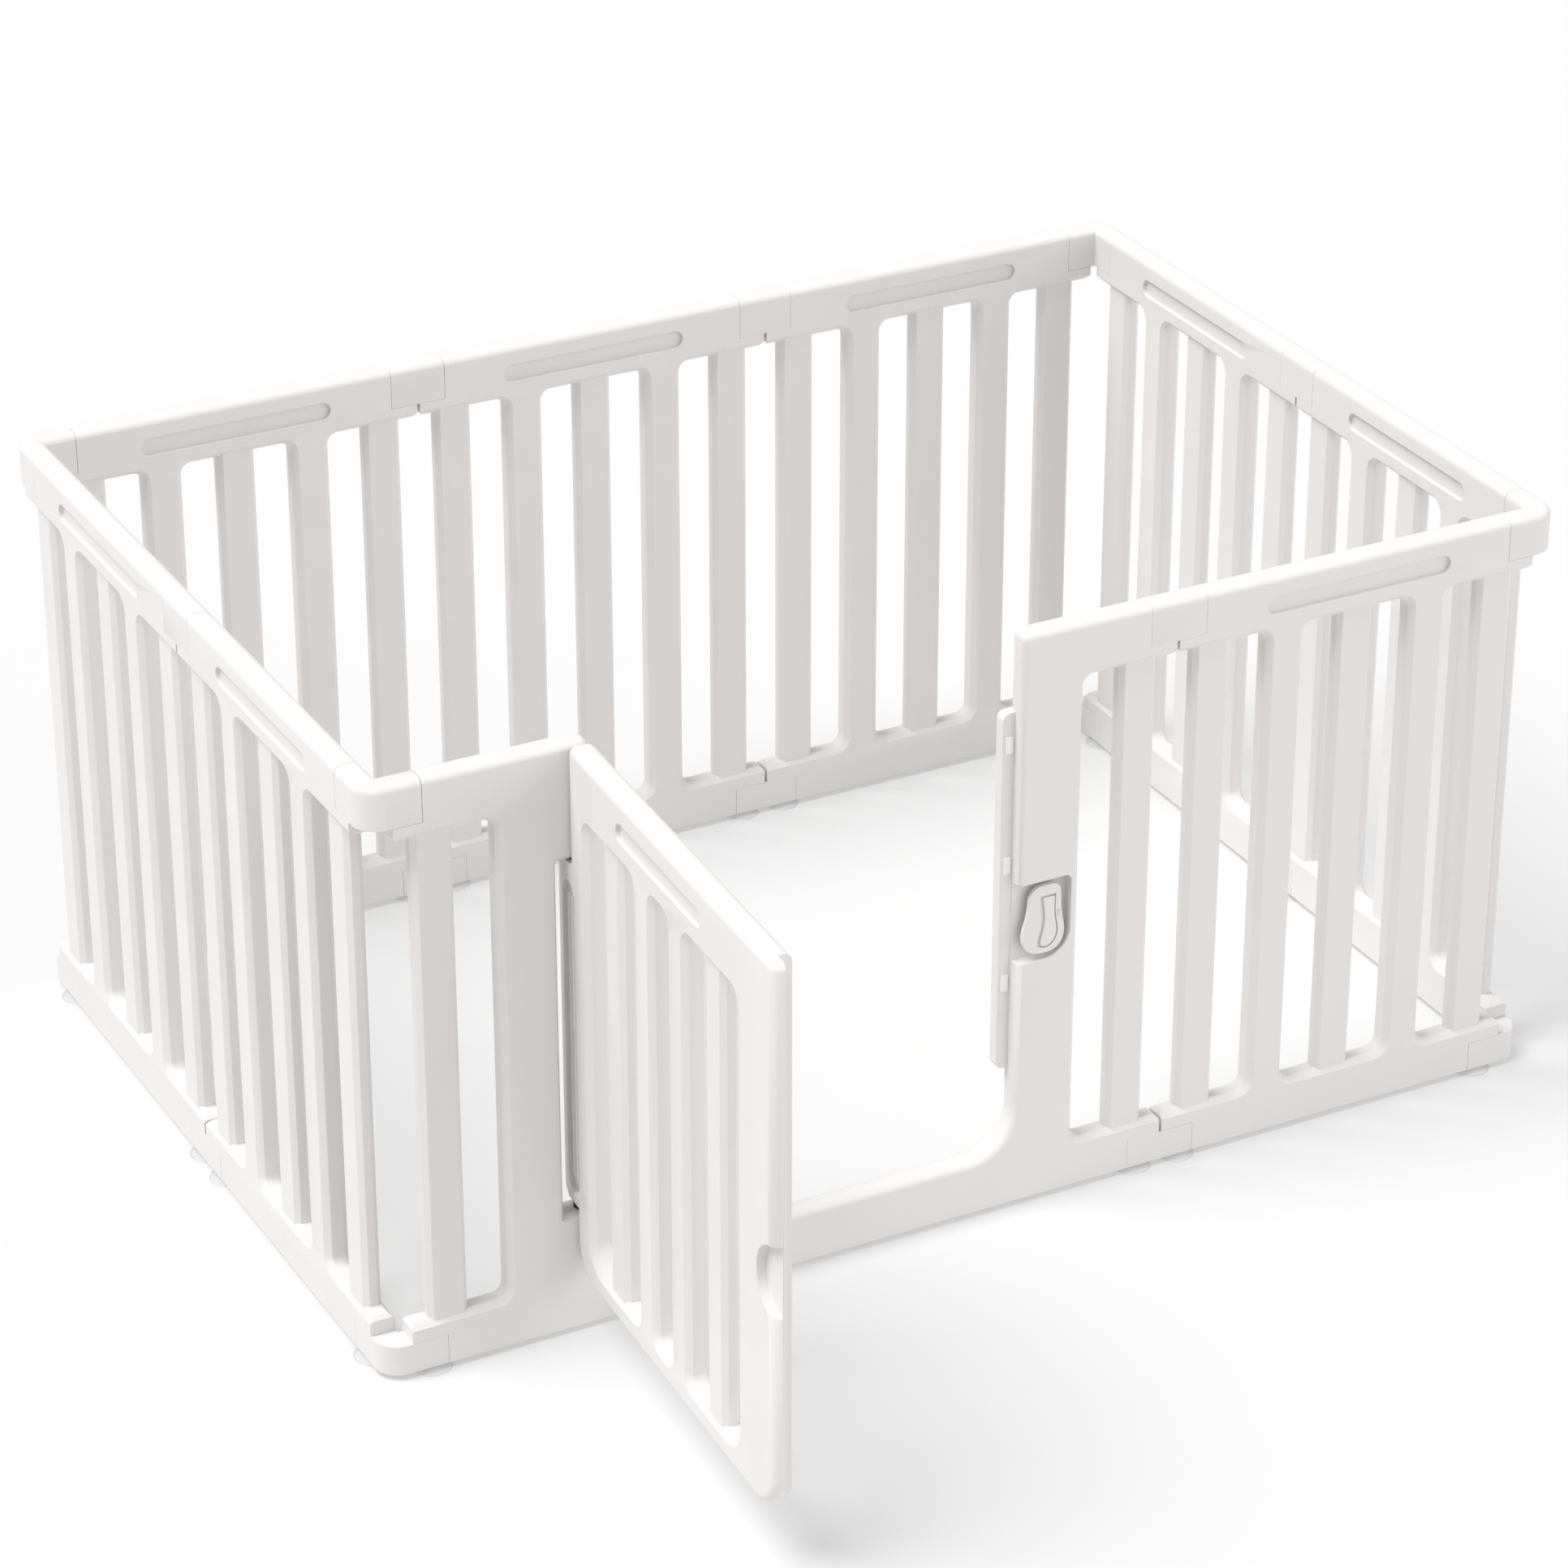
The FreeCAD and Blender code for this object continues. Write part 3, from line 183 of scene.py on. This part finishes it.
@dataclass(frozen=True)
class ClearVinyl:
    """Plasticised PVC, moulded and polished: clear and glossy, with a painted grey shade where its
    wall is seen on edge, drawn as the dark outline of the rim.
    """

    name: str = "vinyl_clear_gloss"
    colour: str = "#F1F4F4"
    # painted shade: the grey that the cup's colour turns to where its wall is seen on edge
    painted_rim_shade: str = "#9FA5A6"
    ior: float = 1.53
    roughness: float = 0.08
    transmission: float = 0.25
    clear: float = 0.20  # share of light stopped face on
    dense: float = 0.95  # and at a grazing angle, where the wall is seen on edge
    edge_start: float = 0.35  # grazing share at which the wall starts to look denser
    ripple_mm: float = 6.0
    ripple_depth_mm: float = 0.05

    def build(self) -> bpy.types.Material:
        """Build the node material."""
        material, tree = new_material(self.name)
        place = add_node(tree, "ShaderNodeTexCoord").outputs["Object"]
        ripple = add_node(tree, "ShaderNodeTexNoise", None, {
            "Vector": place, "Scale": 1 / (self.ripple_mm * MM), "Detail": 1.0})
        wave = add_node(tree, "ShaderNodeBump", None, {
            "Strength": 0.5, "Distance": self.ripple_depth_mm * MM,
            "Height": ripple.outputs["Fac"]})
        edge = add_node(tree, "ShaderNodeLayerWeight", None, {"Blend": 0.35})
        body = add_node(tree, "ShaderNodeMapRange", None, {
            "Value": edge.outputs["Facing"], "From Min": self.edge_start, "From Max": 1.0,
            "To Min": self.clear, "To Max": self.dense})
        # painted shade: the colour darkens to grey as the wall turns edge-on to the view, drawing a
        # dark outline at the rim; the alpha above also rises there, as a wall seen on edge really
        # looks denser
        tint = add_node(tree, "ShaderNodeMix", {"data_type": "RGBA"}, {
            0: edge.outputs["Facing"], 6: linear(self.colour), 7: linear(self.painted_rim_shade)})
        shader = add_node(tree, "ShaderNodeBsdfPrincipled", None, {
            "Base Color": tint.outputs[2], "Roughness": self.roughness, "IOR": self.ior,
            "Transmission Weight": self.transmission, "Alpha": body.outputs["Result"],
            "Normal": wave.outputs["Normal"]})
        add_node(tree, "ShaderNodeOutputMaterial", None, {"Surface": shader.outputs["BSDF"]})
        return material


@dataclass(frozen=True)
class PlainPlastic:
    """A small moulded or rubber fitting in one colour, with fine mould grain."""

    name: str
    colour: str
    worn_colour: str
    roughness: float
    ior: float
    grain_mm: float = 0.6
    grain_depth_mm: float = 0.02

    def build(self) -> bpy.types.Material:
        """Build the node material."""
        material, tree = new_material(self.name)
        place = add_node(tree, "ShaderNodeTexCoord").outputs["Object"]
        grain = add_node(tree, "ShaderNodeTexNoise", None, {
            "Vector": place, "Scale": 1 / (self.grain_mm * MM), "Detail": 4.0})
        tint = add_node(tree, "ShaderNodeMix", {"data_type": "RGBA"}, {
            0: grain.outputs["Fac"], 6: linear(self.colour), 7: linear(self.worn_colour)})
        grit = add_node(tree, "ShaderNodeBump", None, {
            "Strength": 0.6, "Distance": self.grain_depth_mm * MM, "Height": grain.outputs["Fac"]})
        shader = add_node(tree, "ShaderNodeBsdfPrincipled", None, {
            "Base Color": tint.outputs[2], "Roughness": self.roughness, "IOR": self.ior,
            "Normal": grit.outputs["Normal"]})
        add_node(tree, "ShaderNodeOutputMaterial", None, {"Surface": shader.outputs["BSDF"]})
        return material


@dataclass(frozen=True)
class ZincPlatedSteel:
    """Steel, zinc plated and turned: a cool grey metal with fine rings round the latch's axis."""

    name: str = "steel_zinc_plated"
    colour: str = "#B9BBBD"
    roughness: float = 0.32
    ring_mm: float = 0.5
    ring_depth_mm: float = 0.01
    wave_length: float = 0.314  # ring spacing in metres of the wave pattern at a scale of 1
    axis: tuple[float, float] = (0.062, 0.318)  # X and Z of the rings' middle

    def build(self) -> bpy.types.Material:
        """Build the node material."""
        material, tree = new_material(self.name)
        place = add_node(tree, "ShaderNodeTexCoord").outputs["Object"]
        centred = add_node(tree, "ShaderNodeMapping", None, {
            "Vector": place, "Location": (-self.axis[0], 0, -self.axis[1])})
        rings = add_node(tree, "ShaderNodeTexWave", {
            "wave_type": "RINGS", "rings_direction": "Y", "wave_profile": "SIN"}, {
            "Vector": centred.outputs["Vector"],
            "Scale": self.wave_length / (self.ring_mm * MM), "Distortion": 0.4})
        turned = add_node(tree, "ShaderNodeBump", None, {
            "Strength": 0.4, "Distance": self.ring_depth_mm * MM, "Height": rings.outputs["Fac"]})
        shader = add_node(tree, "ShaderNodeBsdfPrincipled", None, {
            "Base Color": linear(self.colour), "Metallic": 1.0, "Roughness": self.roughness,
            "Normal": turned.outputs["Normal"]})
        add_node(tree, "ShaderNodeOutputMaterial", None, {"Surface": shader.outputs["BSDF"]})
        return material


@dataclass(frozen=True)
class StudioSweep:
    """Translucent matte acrylic sweep, lit a little from below so that shadows on it stay pale."""

    name: str = "studio_acrylic_sweep"
    colour: str = "#B6B6B6"
    mottle_colour: str = "#B4B4B4"
    glow: float = 0.34
    roughness: float = 0.9
    mottle_mm: float = 120.0

    def build(self) -> bpy.types.Material:
        """Build the node material."""
        material, tree = new_material(self.name)
        place = add_node(tree, "ShaderNodeTexCoord").outputs["Object"]
        mottle = add_node(tree, "ShaderNodeTexNoise", None, {
            "Vector": place, "Scale": 1 / (self.mottle_mm * MM), "Detail": 2.0})
        tint = add_node(tree, "ShaderNodeMix", {"data_type": "RGBA"}, {
            0: mottle.outputs["Fac"], 6: linear(self.colour), 7: linear(self.mottle_colour)})
        shader = add_node(tree, "ShaderNodeBsdfPrincipled", None, {
            "Base Color": tint.outputs[2], "Roughness": self.roughness, "Specular IOR Level": 0.1,
            "Emission Color": linear("#FFFFFF"), "Emission Strength": self.glow})
        add_node(tree, "ShaderNodeOutputMaterial", None, {"Surface": shader.outputs["BSDF"]})
        return material


class Workbench:
    """Everyday modelling moves on one piece at a time."""

    @staticmethod
    def pick(piece: bpy.types.Object) -> None:
        """Select one piece alone and make it active."""
        bpy.ops.object.select_all(action="DESELECT")
        piece.select_set(True)
        bpy.context.view_layer.objects.active = piece

    @staticmethod
    def copy_of(node: str, name: str) -> bpy.types.Object:
        """Copy a CAD node as a piece with its own mesh, merged into one skin.

        Args:
            node: CAD node to copy.
            name: name of the new piece.

        Returns:
            The copy, at the origin, with flat faces made whole again.
        """
        piece = bpy.data.objects.new(name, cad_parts[node].data.copy())
        piece.data.name = name
        bpy.context.scene.collection.objects.link(piece)
        Workbench.pick(piece)
        bpy.ops.object.mode_set(mode="EDIT")
        bpy.ops.mesh.select_all(action="SELECT")
        bpy.ops.mesh.remove_doubles(threshold=MERGE)
        bpy.ops.mesh.dissolve_limited(angle_limit=FLAT)
        bpy.ops.object.mode_set(mode="OBJECT")
        return piece

    @staticmethod
    def soften(piece: bpy.types.Object, edge: float, segments: int = 2) -> None:
        """Round every sharp edge a little and shade the rest smooth.

        Args:
            piece: piece to finish.
            edge: width of the rounding.
            segments: facets across it.
        """
        Workbench.pick(piece)
        bpy.ops.object.shade_smooth_by_angle(angle=SHARP)
        modifier = piece.modifiers.new("mould_radius", "BEVEL")
        modifier.width = edge
        modifier.segments = segments
        modifier.limit_method = "ANGLE"
        modifier.angle_limit = SHARP
        modifier.miter_outer = "MITER_ARC"
        modifier.harden_normals = True
        bpy.ops.object.modifier_apply(modifier=modifier.name)

    @staticmethod
    def dress(piece: bpy.types.Object, finish: bpy.types.Material, slot: Slot) -> None:
        """Give a piece one material.

        Args:
            piece: piece to dress.
            finish: its material.
            slot: the record's material slot; not used.
        """
        piece.data.materials.clear()
        piece.data.materials.append(finish)

    @staticmethod
    def carve(piece: bpy.types.Object, cutter: bpy.types.Object) -> None:
        """Cut one piece's form out of another and delete the cutter.

        Args:
            piece: piece that is cut.
            cutter: closed form to take away.
        """
        Workbench.pick(piece)
        modifier = piece.modifiers.new("carve", "BOOLEAN")
        modifier.operation = "DIFFERENCE"
        modifier.solver = "EXACT"
        modifier.object = cutter
        bpy.ops.object.modifier_apply(modifier=modifier.name)
        bpy.data.objects.remove(cutter)

    @staticmethod
    def join(parts: list[bpy.types.Object], name: str) -> bpy.types.Object:
        """Join parts into one piece at the origin.

        Args:
            parts: pieces to join.
            name: name of the result.

        Returns:
            The joined piece.
        """
        Workbench.pick(parts[0])
        for part in parts[1:]:
            part.select_set(True)
        bpy.ops.object.join()
        piece = bpy.context.view_layer.objects.active
        piece.name = name
        piece.data.name = name
        return piece


@dataclass
class Mouldings:
    """White mouldings that keep the CAD's form and gain the edge radius of a real mould."""

    nodes: tuple[str, ...]
    body: Body
    edge: float = 0.9 * MM
    pieces: list[bpy.types.Object] = field(default_factory=list)

    def build(self) -> None:
        """Copy each node, soften it and let it stand for the node."""
        for node in self.nodes:
            piece = Workbench.copy_of(node, node + "_moulding")
            Workbench.soften(piece, self.edge)
            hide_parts(node)
            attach(piece, self.body.value)
            self.pieces.append(piece)
            LOG.info("%s: %d faces", piece.name, len(piece.data.polygons))

    def dress(self, finish: bpy.types.Material, slot: Slot) -> None:
        """Give every piece the finish.

        Args:
            finish: material of all the pieces.
            slot: the record's material slot.
        """
        for piece in self.pieces:
            Workbench.dress(piece, finish, slot)


@dataclass
class LatchPlate:
    """Pear shaped turning latch with a waisted thumb bar that stands in a well."""

    pivot: tuple[float, float] = (0.062, 0.318)  # X and Z of the axis
    node: str = "latch_plate"
    thick: float = 4 * MM
    stem: float = 6 * MM  # radius
    stem_facets: int = 48
    well_depth: float = 2.6 * MM
    rim: float = 0.8 * MM  # roundings of the plate, the bar and the stem
    bar_edge: float = 0.7 * MM
    stem_edge: float = 0.4 * MM
    groove: float = 0.7 * MM  # depth of a grip mark
    marks: int = 4
    proud: float = 1 * MM  # cutters start this far in front of the face
    bar_root: float = 0.4 * MM  # the bar runs this far into the well's floor
    stem_root: float = 0.5 * MM  # and the stem this far into the plate
    square: tuple[int, ...] = (0, 13)  # the bar's and the well's top corners stay sharp
    piece: bpy.types.Object | None = None

    def rim_points(self) -> Outline:
        """Outline in millimetres: a small head, a hollow left cheek and a full lobe below."""
        return [(3.0, 28.0), (11.0, 27.6), (17.0, 23.5), (18.6, 15.0), (19.0, 3.0), (20.6, -9.0),
                (22.8, -21.0), (21.6, -32.0), (16.5, -40.2), (7.5, -44.2), (-4.5, -44.4),
                (-14.0, -41.2), (-20.4, -34.6), (-23.0, -25.6), (-21.8, -16.0), (-18.6, -5.0),
                (-16.6, 6.5), (-15.8, 16.0), (-12.0, 23.6), (-5.5, 27.4)]

    def bar_points(self) -> Outline:
        """Thumb bar in millimetres: square top, narrow waist, round foot swept to the left."""
        return [(12.4, 14.2), (12.0, 6.0), (12.2, -4.0), (13.6, -14.0), (14.6, -24.0),
                (12.0, -32.5), (6.5, -37.4), (0.5, -38.0), (-3.0, -34.0), (-1.4, -27.0),
                (1.0, -18.0), (1.8, -8.0), (1.0, 3.0), (-0.9, 14.2)]

    def well_points(self) -> Outline:
        """Well in millimetres: wide on the bar's left, a fine groove on its right."""
        return [(13.2, 16.8), (12.9, 6.0), (13.1, -4.0), (14.6, -14.0), (15.9, -24.5),
                (13.0, -33.5), (7.0, -38.6), (0.0, -39.4), (-6.0, -36.0), (-5.8, -27.0),
                (-3.6, -17.0), (-3.0, -7.0), (-3.6, 4.0), (-4.6, 16.8)]

    def mark_points(self, count: int) -> Outline:
        """Four corners of one slanted grip mark beside the bar's waist.

        Args:
            count: number of the mark, from the top.

        Returns:
            Points (x, z) in metres.
        """
        rise = -2.4 - 2.1 * count
        corners = ((12.0, rise), (17.4, rise + 0.9), (17.4, rise + 1.7), (12.0, rise + 0.8))
        return [(x * MM, z * MM) for x, z in corners]

    def smooth(self, points: Outline, square: tuple[int, ...] = (),
               steps: int = 4) -> Outline:
        """Run a smooth closed curve through points.

        Args:
            points: points in millimetres.
            square: numbers of the points that stay sharp corners.
            steps: pieces between two points.

        Returns:
            Points (x, z) in metres.
        """
        result = []
        total = len(points)
        for index in range(total):
            before, start, end, after = (
                Vector(points[(index + shift) % total]) for shift in (-1, 0, 1, 2))
            leave = Vector((0, 0)) if index in square else (end - before) / 2
            arrive = Vector((0, 0)) if (index + 1) % total in square else (after - start) / 2
            for step in range(steps):
                t = step / steps
                spot = ((2 * t ** 3 - 3 * t ** 2 + 1) * start + (t ** 3 - 2 * t ** 2 + t) * leave
                        + (3 * t ** 2 - 2 * t ** 3) * end + (t ** 3 - t ** 2) * arrive)
                result.append((spot.x * MM, spot.y * MM))
        return result

    def slab(self, points: Outline, front: float, back: float, name: str) -> bpy.types.Object:
        """Fill an outline and extrude it to a slab.

        Args:
            points: outline (x, z) round the axis.
            front: Y of the front face.
            back: Y of the back face.
            name: piece name.

        Returns:
            The slab.
        """
        bpy.ops.object.select_all(action="DESELECT")
        bpy.ops.mesh.primitive_circle_add(
            vertices=len(points), radius=0.01, fill_type="NGON", location=(0, 0, 0))
        slab = bpy.context.object
        slab.name = name
        slab.data.name = name
        for vertex, (x, z) in zip(slab.data.vertices, points):
            vertex.co = (self.pivot[0] + x, front, self.pivot[1] + z)
        bpy.ops.object.mode_set(mode="EDIT")
        bpy.ops.mesh.select_all(action="SELECT")
        bpy.ops.mesh.extrude_region_move(TRANSFORM_OT_translate={"value": (0, back - front, 0)})
        bpy.ops.mesh.select_all(action="SELECT")
        bpy.ops.mesh.normals_make_consistent(inside=False)
        bpy.ops.object.mode_set(mode="OBJECT")
        return slab

    def build(self) -> None:
        """Model the plate, sink the well, cut the grip marks, and add the bar and the stem."""
        low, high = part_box(self.node)
        front, back = low.y, low.y + self.thick
        plate = self.slab(self.smooth(self.rim_points()), front, back, "latch_plate_moulding")
        floor = front + self.well_depth
        proud = front - self.proud
        well = self.slab(self.smooth(self.well_points(), self.square), proud, floor, "well")
        Workbench.carve(plate, well)
        for count in range(self.marks):
            mark = self.slab(self.mark_points(count), proud, front + self.groove, "mark")
            Workbench.carve(plate, mark)
        Workbench.soften(plate, self.rim, 3)
        bar = self.slab(self.smooth(self.bar_points(), self.square),
                        front, floor + self.bar_root, "thumb_bar")
        Workbench.soften(bar, self.bar_edge, 3)
        around = [2 * math.pi * step / self.stem_facets for step in range(self.stem_facets)]
        ring = [(self.stem * math.cos(turn), self.stem * math.sin(turn)) for turn in around]
        stem = self.slab(ring, back - self.stem_root, high.y, "stem")
        Workbench.soften(stem, self.stem_edge)
        self.piece = Workbench.join([plate, bar, stem], "latch_plate_moulding")
        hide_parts(self.node)
        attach(self.piece, Body.LATCH.value)
        LOG.info("latch plate: %d faces", len(self.piece.data.polygons))

    def dress(self, finish: bpy.types.Material) -> None:
        """Give the plate the white plastic."""
        Workbench.dress(self.piece, finish, Slot.WHITE)


@dataclass
class StrikePads:
    """Three soft blocks with rounded corners that the closed door rests on."""

    node: str = "strike_pads"
    width: float = 8 * MM
    height: float = 18 * MM
    pitch: float = 126.5 * MM
    count: int = 3
    corner: float = 1.6 * MM  # radius of the four corners seen from the front
    corner_facets: int = 5
    edge: float = 0.35 * MM
    piece: bpy.types.Object | None = None

    def build(self) -> None:
        """Shape one block, round it and copy it down the strip."""
        low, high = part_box(self.node)
        blocks = []
        for index in range(self.count):
            bpy.ops.object.select_all(action="DESELECT")
            rise = low.z + self.height / 2 + index * self.pitch
            bpy.ops.mesh.primitive_cube_add(
                size=1, location=((low.x + high.x) / 2, (low.y + high.y) / 2, rise),
                scale=(self.width, high.y - low.y, self.height))
            block = bpy.context.object
            bpy.ops.object.transform_apply(location=True, rotation=True, scale=True)
            bpy.ops.object.mode_set(mode="EDIT")
            bpy.ops.mesh.select_mode(type="EDGE")
            bpy.ops.mesh.select_all(action="DESELECT")
            bpy.ops.object.mode_set(mode="OBJECT")
            for edge in block.data.edges:
                first, second = (block.data.vertices[number].co for number in edge.vertices)
                edge.select = abs(first.y - second.y) > 0.5 * MM  # runs from front to back
            bpy.ops.object.mode_set(mode="EDIT")
            bpy.ops.mesh.bevel(offset=self.corner, segments=self.corner_facets)
            bpy.ops.object.mode_set(mode="OBJECT")
            Workbench.soften(block, self.edge)
            blocks.append(block)
        self.piece = Workbench.join(blocks, "strike_pads_soft")
        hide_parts(self.node)
        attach(self.piece, Body.PEN.value)
        LOG.info("strike pads: %d blocks", self.count)

    def dress(self, finish: bpy.types.Material) -> None:
        """Give the blocks the elastomer."""
        Workbench.dress(self.piece, finish, Slot.BUFFER)


@dataclass
class SuctionCups:
    """Clear suction cups, a pair under each bottom connector."""

    radius: float = 19.5 * MM
    spacing: float = 25 * MM  # from the joint to each cup's axis
    around: int = 64
    crease: float = math.radians(50)  # the skirt is smooth, its foot is not
    pieces: list[bpy.types.Object] = field(default_factory=list)

    def profile(self) -> Outline:
        """Radius and height of each ring, from the stem's top, down the skirt and back inside."""
        outer = self.radius
        return [
            (4.9 * MM, 16.6 * MM), (4.9 * MM, 6.4 * MM), (5.6 * MM, 5.6 * MM), (6.6 * MM, 5.2 * MM),
            (9.0 * MM, 4.5 * MM), (12.5 * MM, 3.1 * MM), (16.2 * MM, 1.75 * MM),
            (outer - 1.3 * MM, 1.25 * MM), (outer - 0.5 * MM, 1.2 * MM), (outer, 0.8 * MM),
            (outer, 0.3 * MM), (outer - 0.4 * MM, 0.0), (outer - 1.3 * MM, 0.0),
            (outer - 1.8 * MM, 0.35 * MM), (14.0 * MM, 1.3 * MM), (9.0 * MM, 2.6 * MM),
            (5.0 * MM, 3.3 * MM), (2.0 * MM, 3.45 * MM),
        ]

    def places(self) -> dict[str, Outline]:
        """Plan position of both cups for each CAD node."""
        lane, reach = MID_PLANE, self.spacing
        spots: dict[str, Outline] = {}
        rows = {"back_left": (-PITCH / 2, PITCH + lane), "back_right": (PITCH / 2, PITCH + lane),
                "front": (PITCH / 2, -PITCH - lane)}
        for name, (east, north) in rows.items():
            spots["joint_cups_" + name] = [(east - reach, north), (east + reach, north)]
        for name, east in (("left", -1.5 * PITCH - lane), ("right", 1.5 * PITCH + lane)):
            spots["joint_cups_" + name] = [(east, -reach), (east, reach)]
        for end, north in (("front", -1), ("back", 1)):
            for side, east in (("left", -1), ("right", 1)):
                spots[f"corner_cups_{end}_{side}"] = [
                    (east * (1.5 * PITCH - reach), north * (PITCH + lane)),
                    (east * (1.5 * PITCH + lane), north * (PITCH - reach))]
        return spots

    def model_cup(self) -> bpy.types.Object:
        """Model one cup about the origin by drawing a ring down its profile.

        Returns:
            The closed cup.
        """
        rings = self.profile()
        radius, height = rings[0]
        bpy.ops.object.select_all(action="DESELECT")
        bpy.ops.mesh.primitive_circle_add(
            vertices=self.around, radius=radius, fill_type="NGON", location=(0, 0, height))
        cup = bpy.context.object
        bpy.ops.object.transform_apply(location=True, rotation=True, scale=True)
        bpy.ops.object.mode_set(mode="EDIT")
        bpy.ops.mesh.select_mode(type="EDGE")
        bpy.ops.mesh.select_all(action="SELECT")
        for next_radius, next_height in rings[1:]:
            bpy.ops.mesh.extrude_edges_move(
                TRANSFORM_OT_translate={"value": (0, 0, next_height - height)})
            ratio = next_radius / radius
            bpy.ops.transform.resize(value=(ratio, ratio, 1), center_override=(0, 0, next_height))
            radius, height = next_radius, next_height
        bpy.ops.mesh.edge_face_add()
        bpy.ops.mesh.select_all(action="SELECT")
        bpy.ops.mesh.normals_make_consistent(inside=False)
        bpy.ops.object.mode_set(mode="OBJECT")
        bpy.ops.object.shade_smooth_by_angle(angle=self.crease)
        return cup

    def build(self) -> None:
        """Copy the cup to every place and join each pair."""
        cup = self.model_cup()
        for node, spots in self.places().items():
            copies = []
            for east, north in spots:
                copy = bpy.data.objects.new(node + "_copy", cup.data.copy())
                copy.data.transform(Matrix.Translation(Vector((east, north + PEN_MIDDLE_Y, 0))))
                bpy.context.scene.collection.objects.link(copy)
                copies.append(copy)
            pair = Workbench.join(copies, node + "_clear")
            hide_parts(node)
            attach(pair, Body.PEN.value)
            self.pieces.append(pair)
        bpy.data.objects.remove(cup)
        LOG.info("suction cups: %d pairs", len(self.pieces))

    def dress(self, finish: bpy.types.Material) -> None:
        """Give every pair the clear vinyl."""
        for piece in self.pieces:
            Workbench.dress(piece, finish, Slot.CUP)


@dataclass
class Studio:
    """Pale floor, soft lights and the camera."""

    camera_place: tuple[float, float, float] = (-2.172, -4.1455 + PEN_MIDDLE_Y, 2.7278)
    camera_turn: float = -27.76  # degrees about Z
    camera_drop: float = 27.70  # degrees below the horizon
    lens: float = 120.8
    sensor: float = 36.0
    far: float = 100.0  # the camera sees no farther
    floor_size: float = 40.0
    ambient: float = 0.47
    ambient_colour: str = "#FFFFFF"
    key: float = 2.95
    key_from: tuple[float, float, float] = (-0.46, 0.06, 0.90)
    key_spread: float = 36.0
    fill: float = 1.05
    fill_from: tuple[float, float, float] = (0.62, -0.72, 0.32)
    fill_spread: float = 60.0

    def light(self, name: str, source: tuple[float, float, float], spread: float,
              power: float) -> None:
        """Hang a far, wide softbox that lights the whole pen evenly.

        Args:
            name: light name.
            source: direction from the pen to the light.
            spread: how wide the light looks from the pen, in degrees.
            power: its strength in watts per square metre.
        """
        lamp = bpy.data.lights.new(name, "SUN")
        lamp.angle = math.radians(spread)
        lamp.energy = power
        holder = bpy.data.objects.new(name, lamp)
        bpy.context.scene.collection.objects.link(holder)
        holder.rotation_euler = Vector(source).to_track_quat("Z", "Y").to_euler()

    def build(self, paper: bpy.types.Material) -> None:
        """Lay the floor, hang the lights and set the camera.

        Args:
            paper: the floor's material.
        """
        bpy.ops.object.select_all(action="DESELECT")
        bpy.ops.mesh.primitive_plane_add(size=self.floor_size, location=(0, 0, 0))
        floor = bpy.context.object
        floor.name = "studio_floor"
        floor.data.materials.append(paper)
        world = bpy.data.worlds.new("studio_air")
        world.use_nodes = True
        backdrop = world.node_tree.nodes["Background"]
        backdrop.inputs["Color"].default_value = linear(self.ambient_colour)
        backdrop.inputs["Strength"].default_value = self.ambient
        bpy.context.scene.world = world
        self.light("key_softbox", self.key_from, self.key_spread, self.key)
        self.light("fill_softbox", self.fill_from, self.fill_spread, self.fill)
        lens = bpy.data.cameras.new("camera")
        lens.lens = self.lens
        lens.sensor_width = self.sensor
        lens.clip_end = self.far
        camera = bpy.data.objects.new("camera", lens)
        bpy.context.scene.collection.objects.link(camera)
        camera.location = self.camera_place
        camera.rotation_euler = (
            math.radians(90 - self.camera_drop), 0, math.radians(self.camera_turn))
        bpy.context.scene.camera = camera
        bpy.context.scene.view_settings.view_transform = "Standard"


def main() -> None:
    """Build every sub-assembly in order and report it."""
    logging.basicConfig(level=logging.INFO, format="%(name)s %(message)s")
    white = MouldedPolypropylene().build()
    black = PlainPlastic("nylon_black", "#0C0C0D", "#17171A", 0.38, 1.53).build()
    buffer = PlainPlastic("elastomer_pale", "#F6F5F4", "#F0EFEE", 0.5, 1.5).build()
    names = sorted(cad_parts)
    pen_white = [name for name in names if name.endswith("panel") or "_panel_" in name
                 or name.startswith(("joint_cap", "joint_foot", "corner_cap", "corner_foot"))]
    sets = [
        (Mouldings(tuple(pen_white) + ("door_frame",), Body.PEN), white, Slot.WHITE),
        (Mouldings(("door",), Body.DOOR), white, Slot.WHITE),
        (Mouldings(tuple(name for name in names if name.startswith("hinge_")), Body.PEN, 0.3 * MM),
         black, Slot.BLACK),
        (Mouldings(("latch_washer", "latch_screw"), Body.LATCH, 0.2 * MM),
         ZincPlatedSteel().build(), Slot.STEEL),
    ]
    for mouldings, finish, slot in sets:
        mouldings.build()
        mouldings.dress(finish, slot)
    latch = LatchPlate()
    latch.build()
    latch.dress(white)
    pads = StrikePads()
    pads.build()
    pads.dress(buffer)
    cups = SuctionCups()
    cups.build()
    cups.dress(ClearVinyl().build())
    Studio().build(StudioSweep().build())


if __name__ == "__main__":
    main()
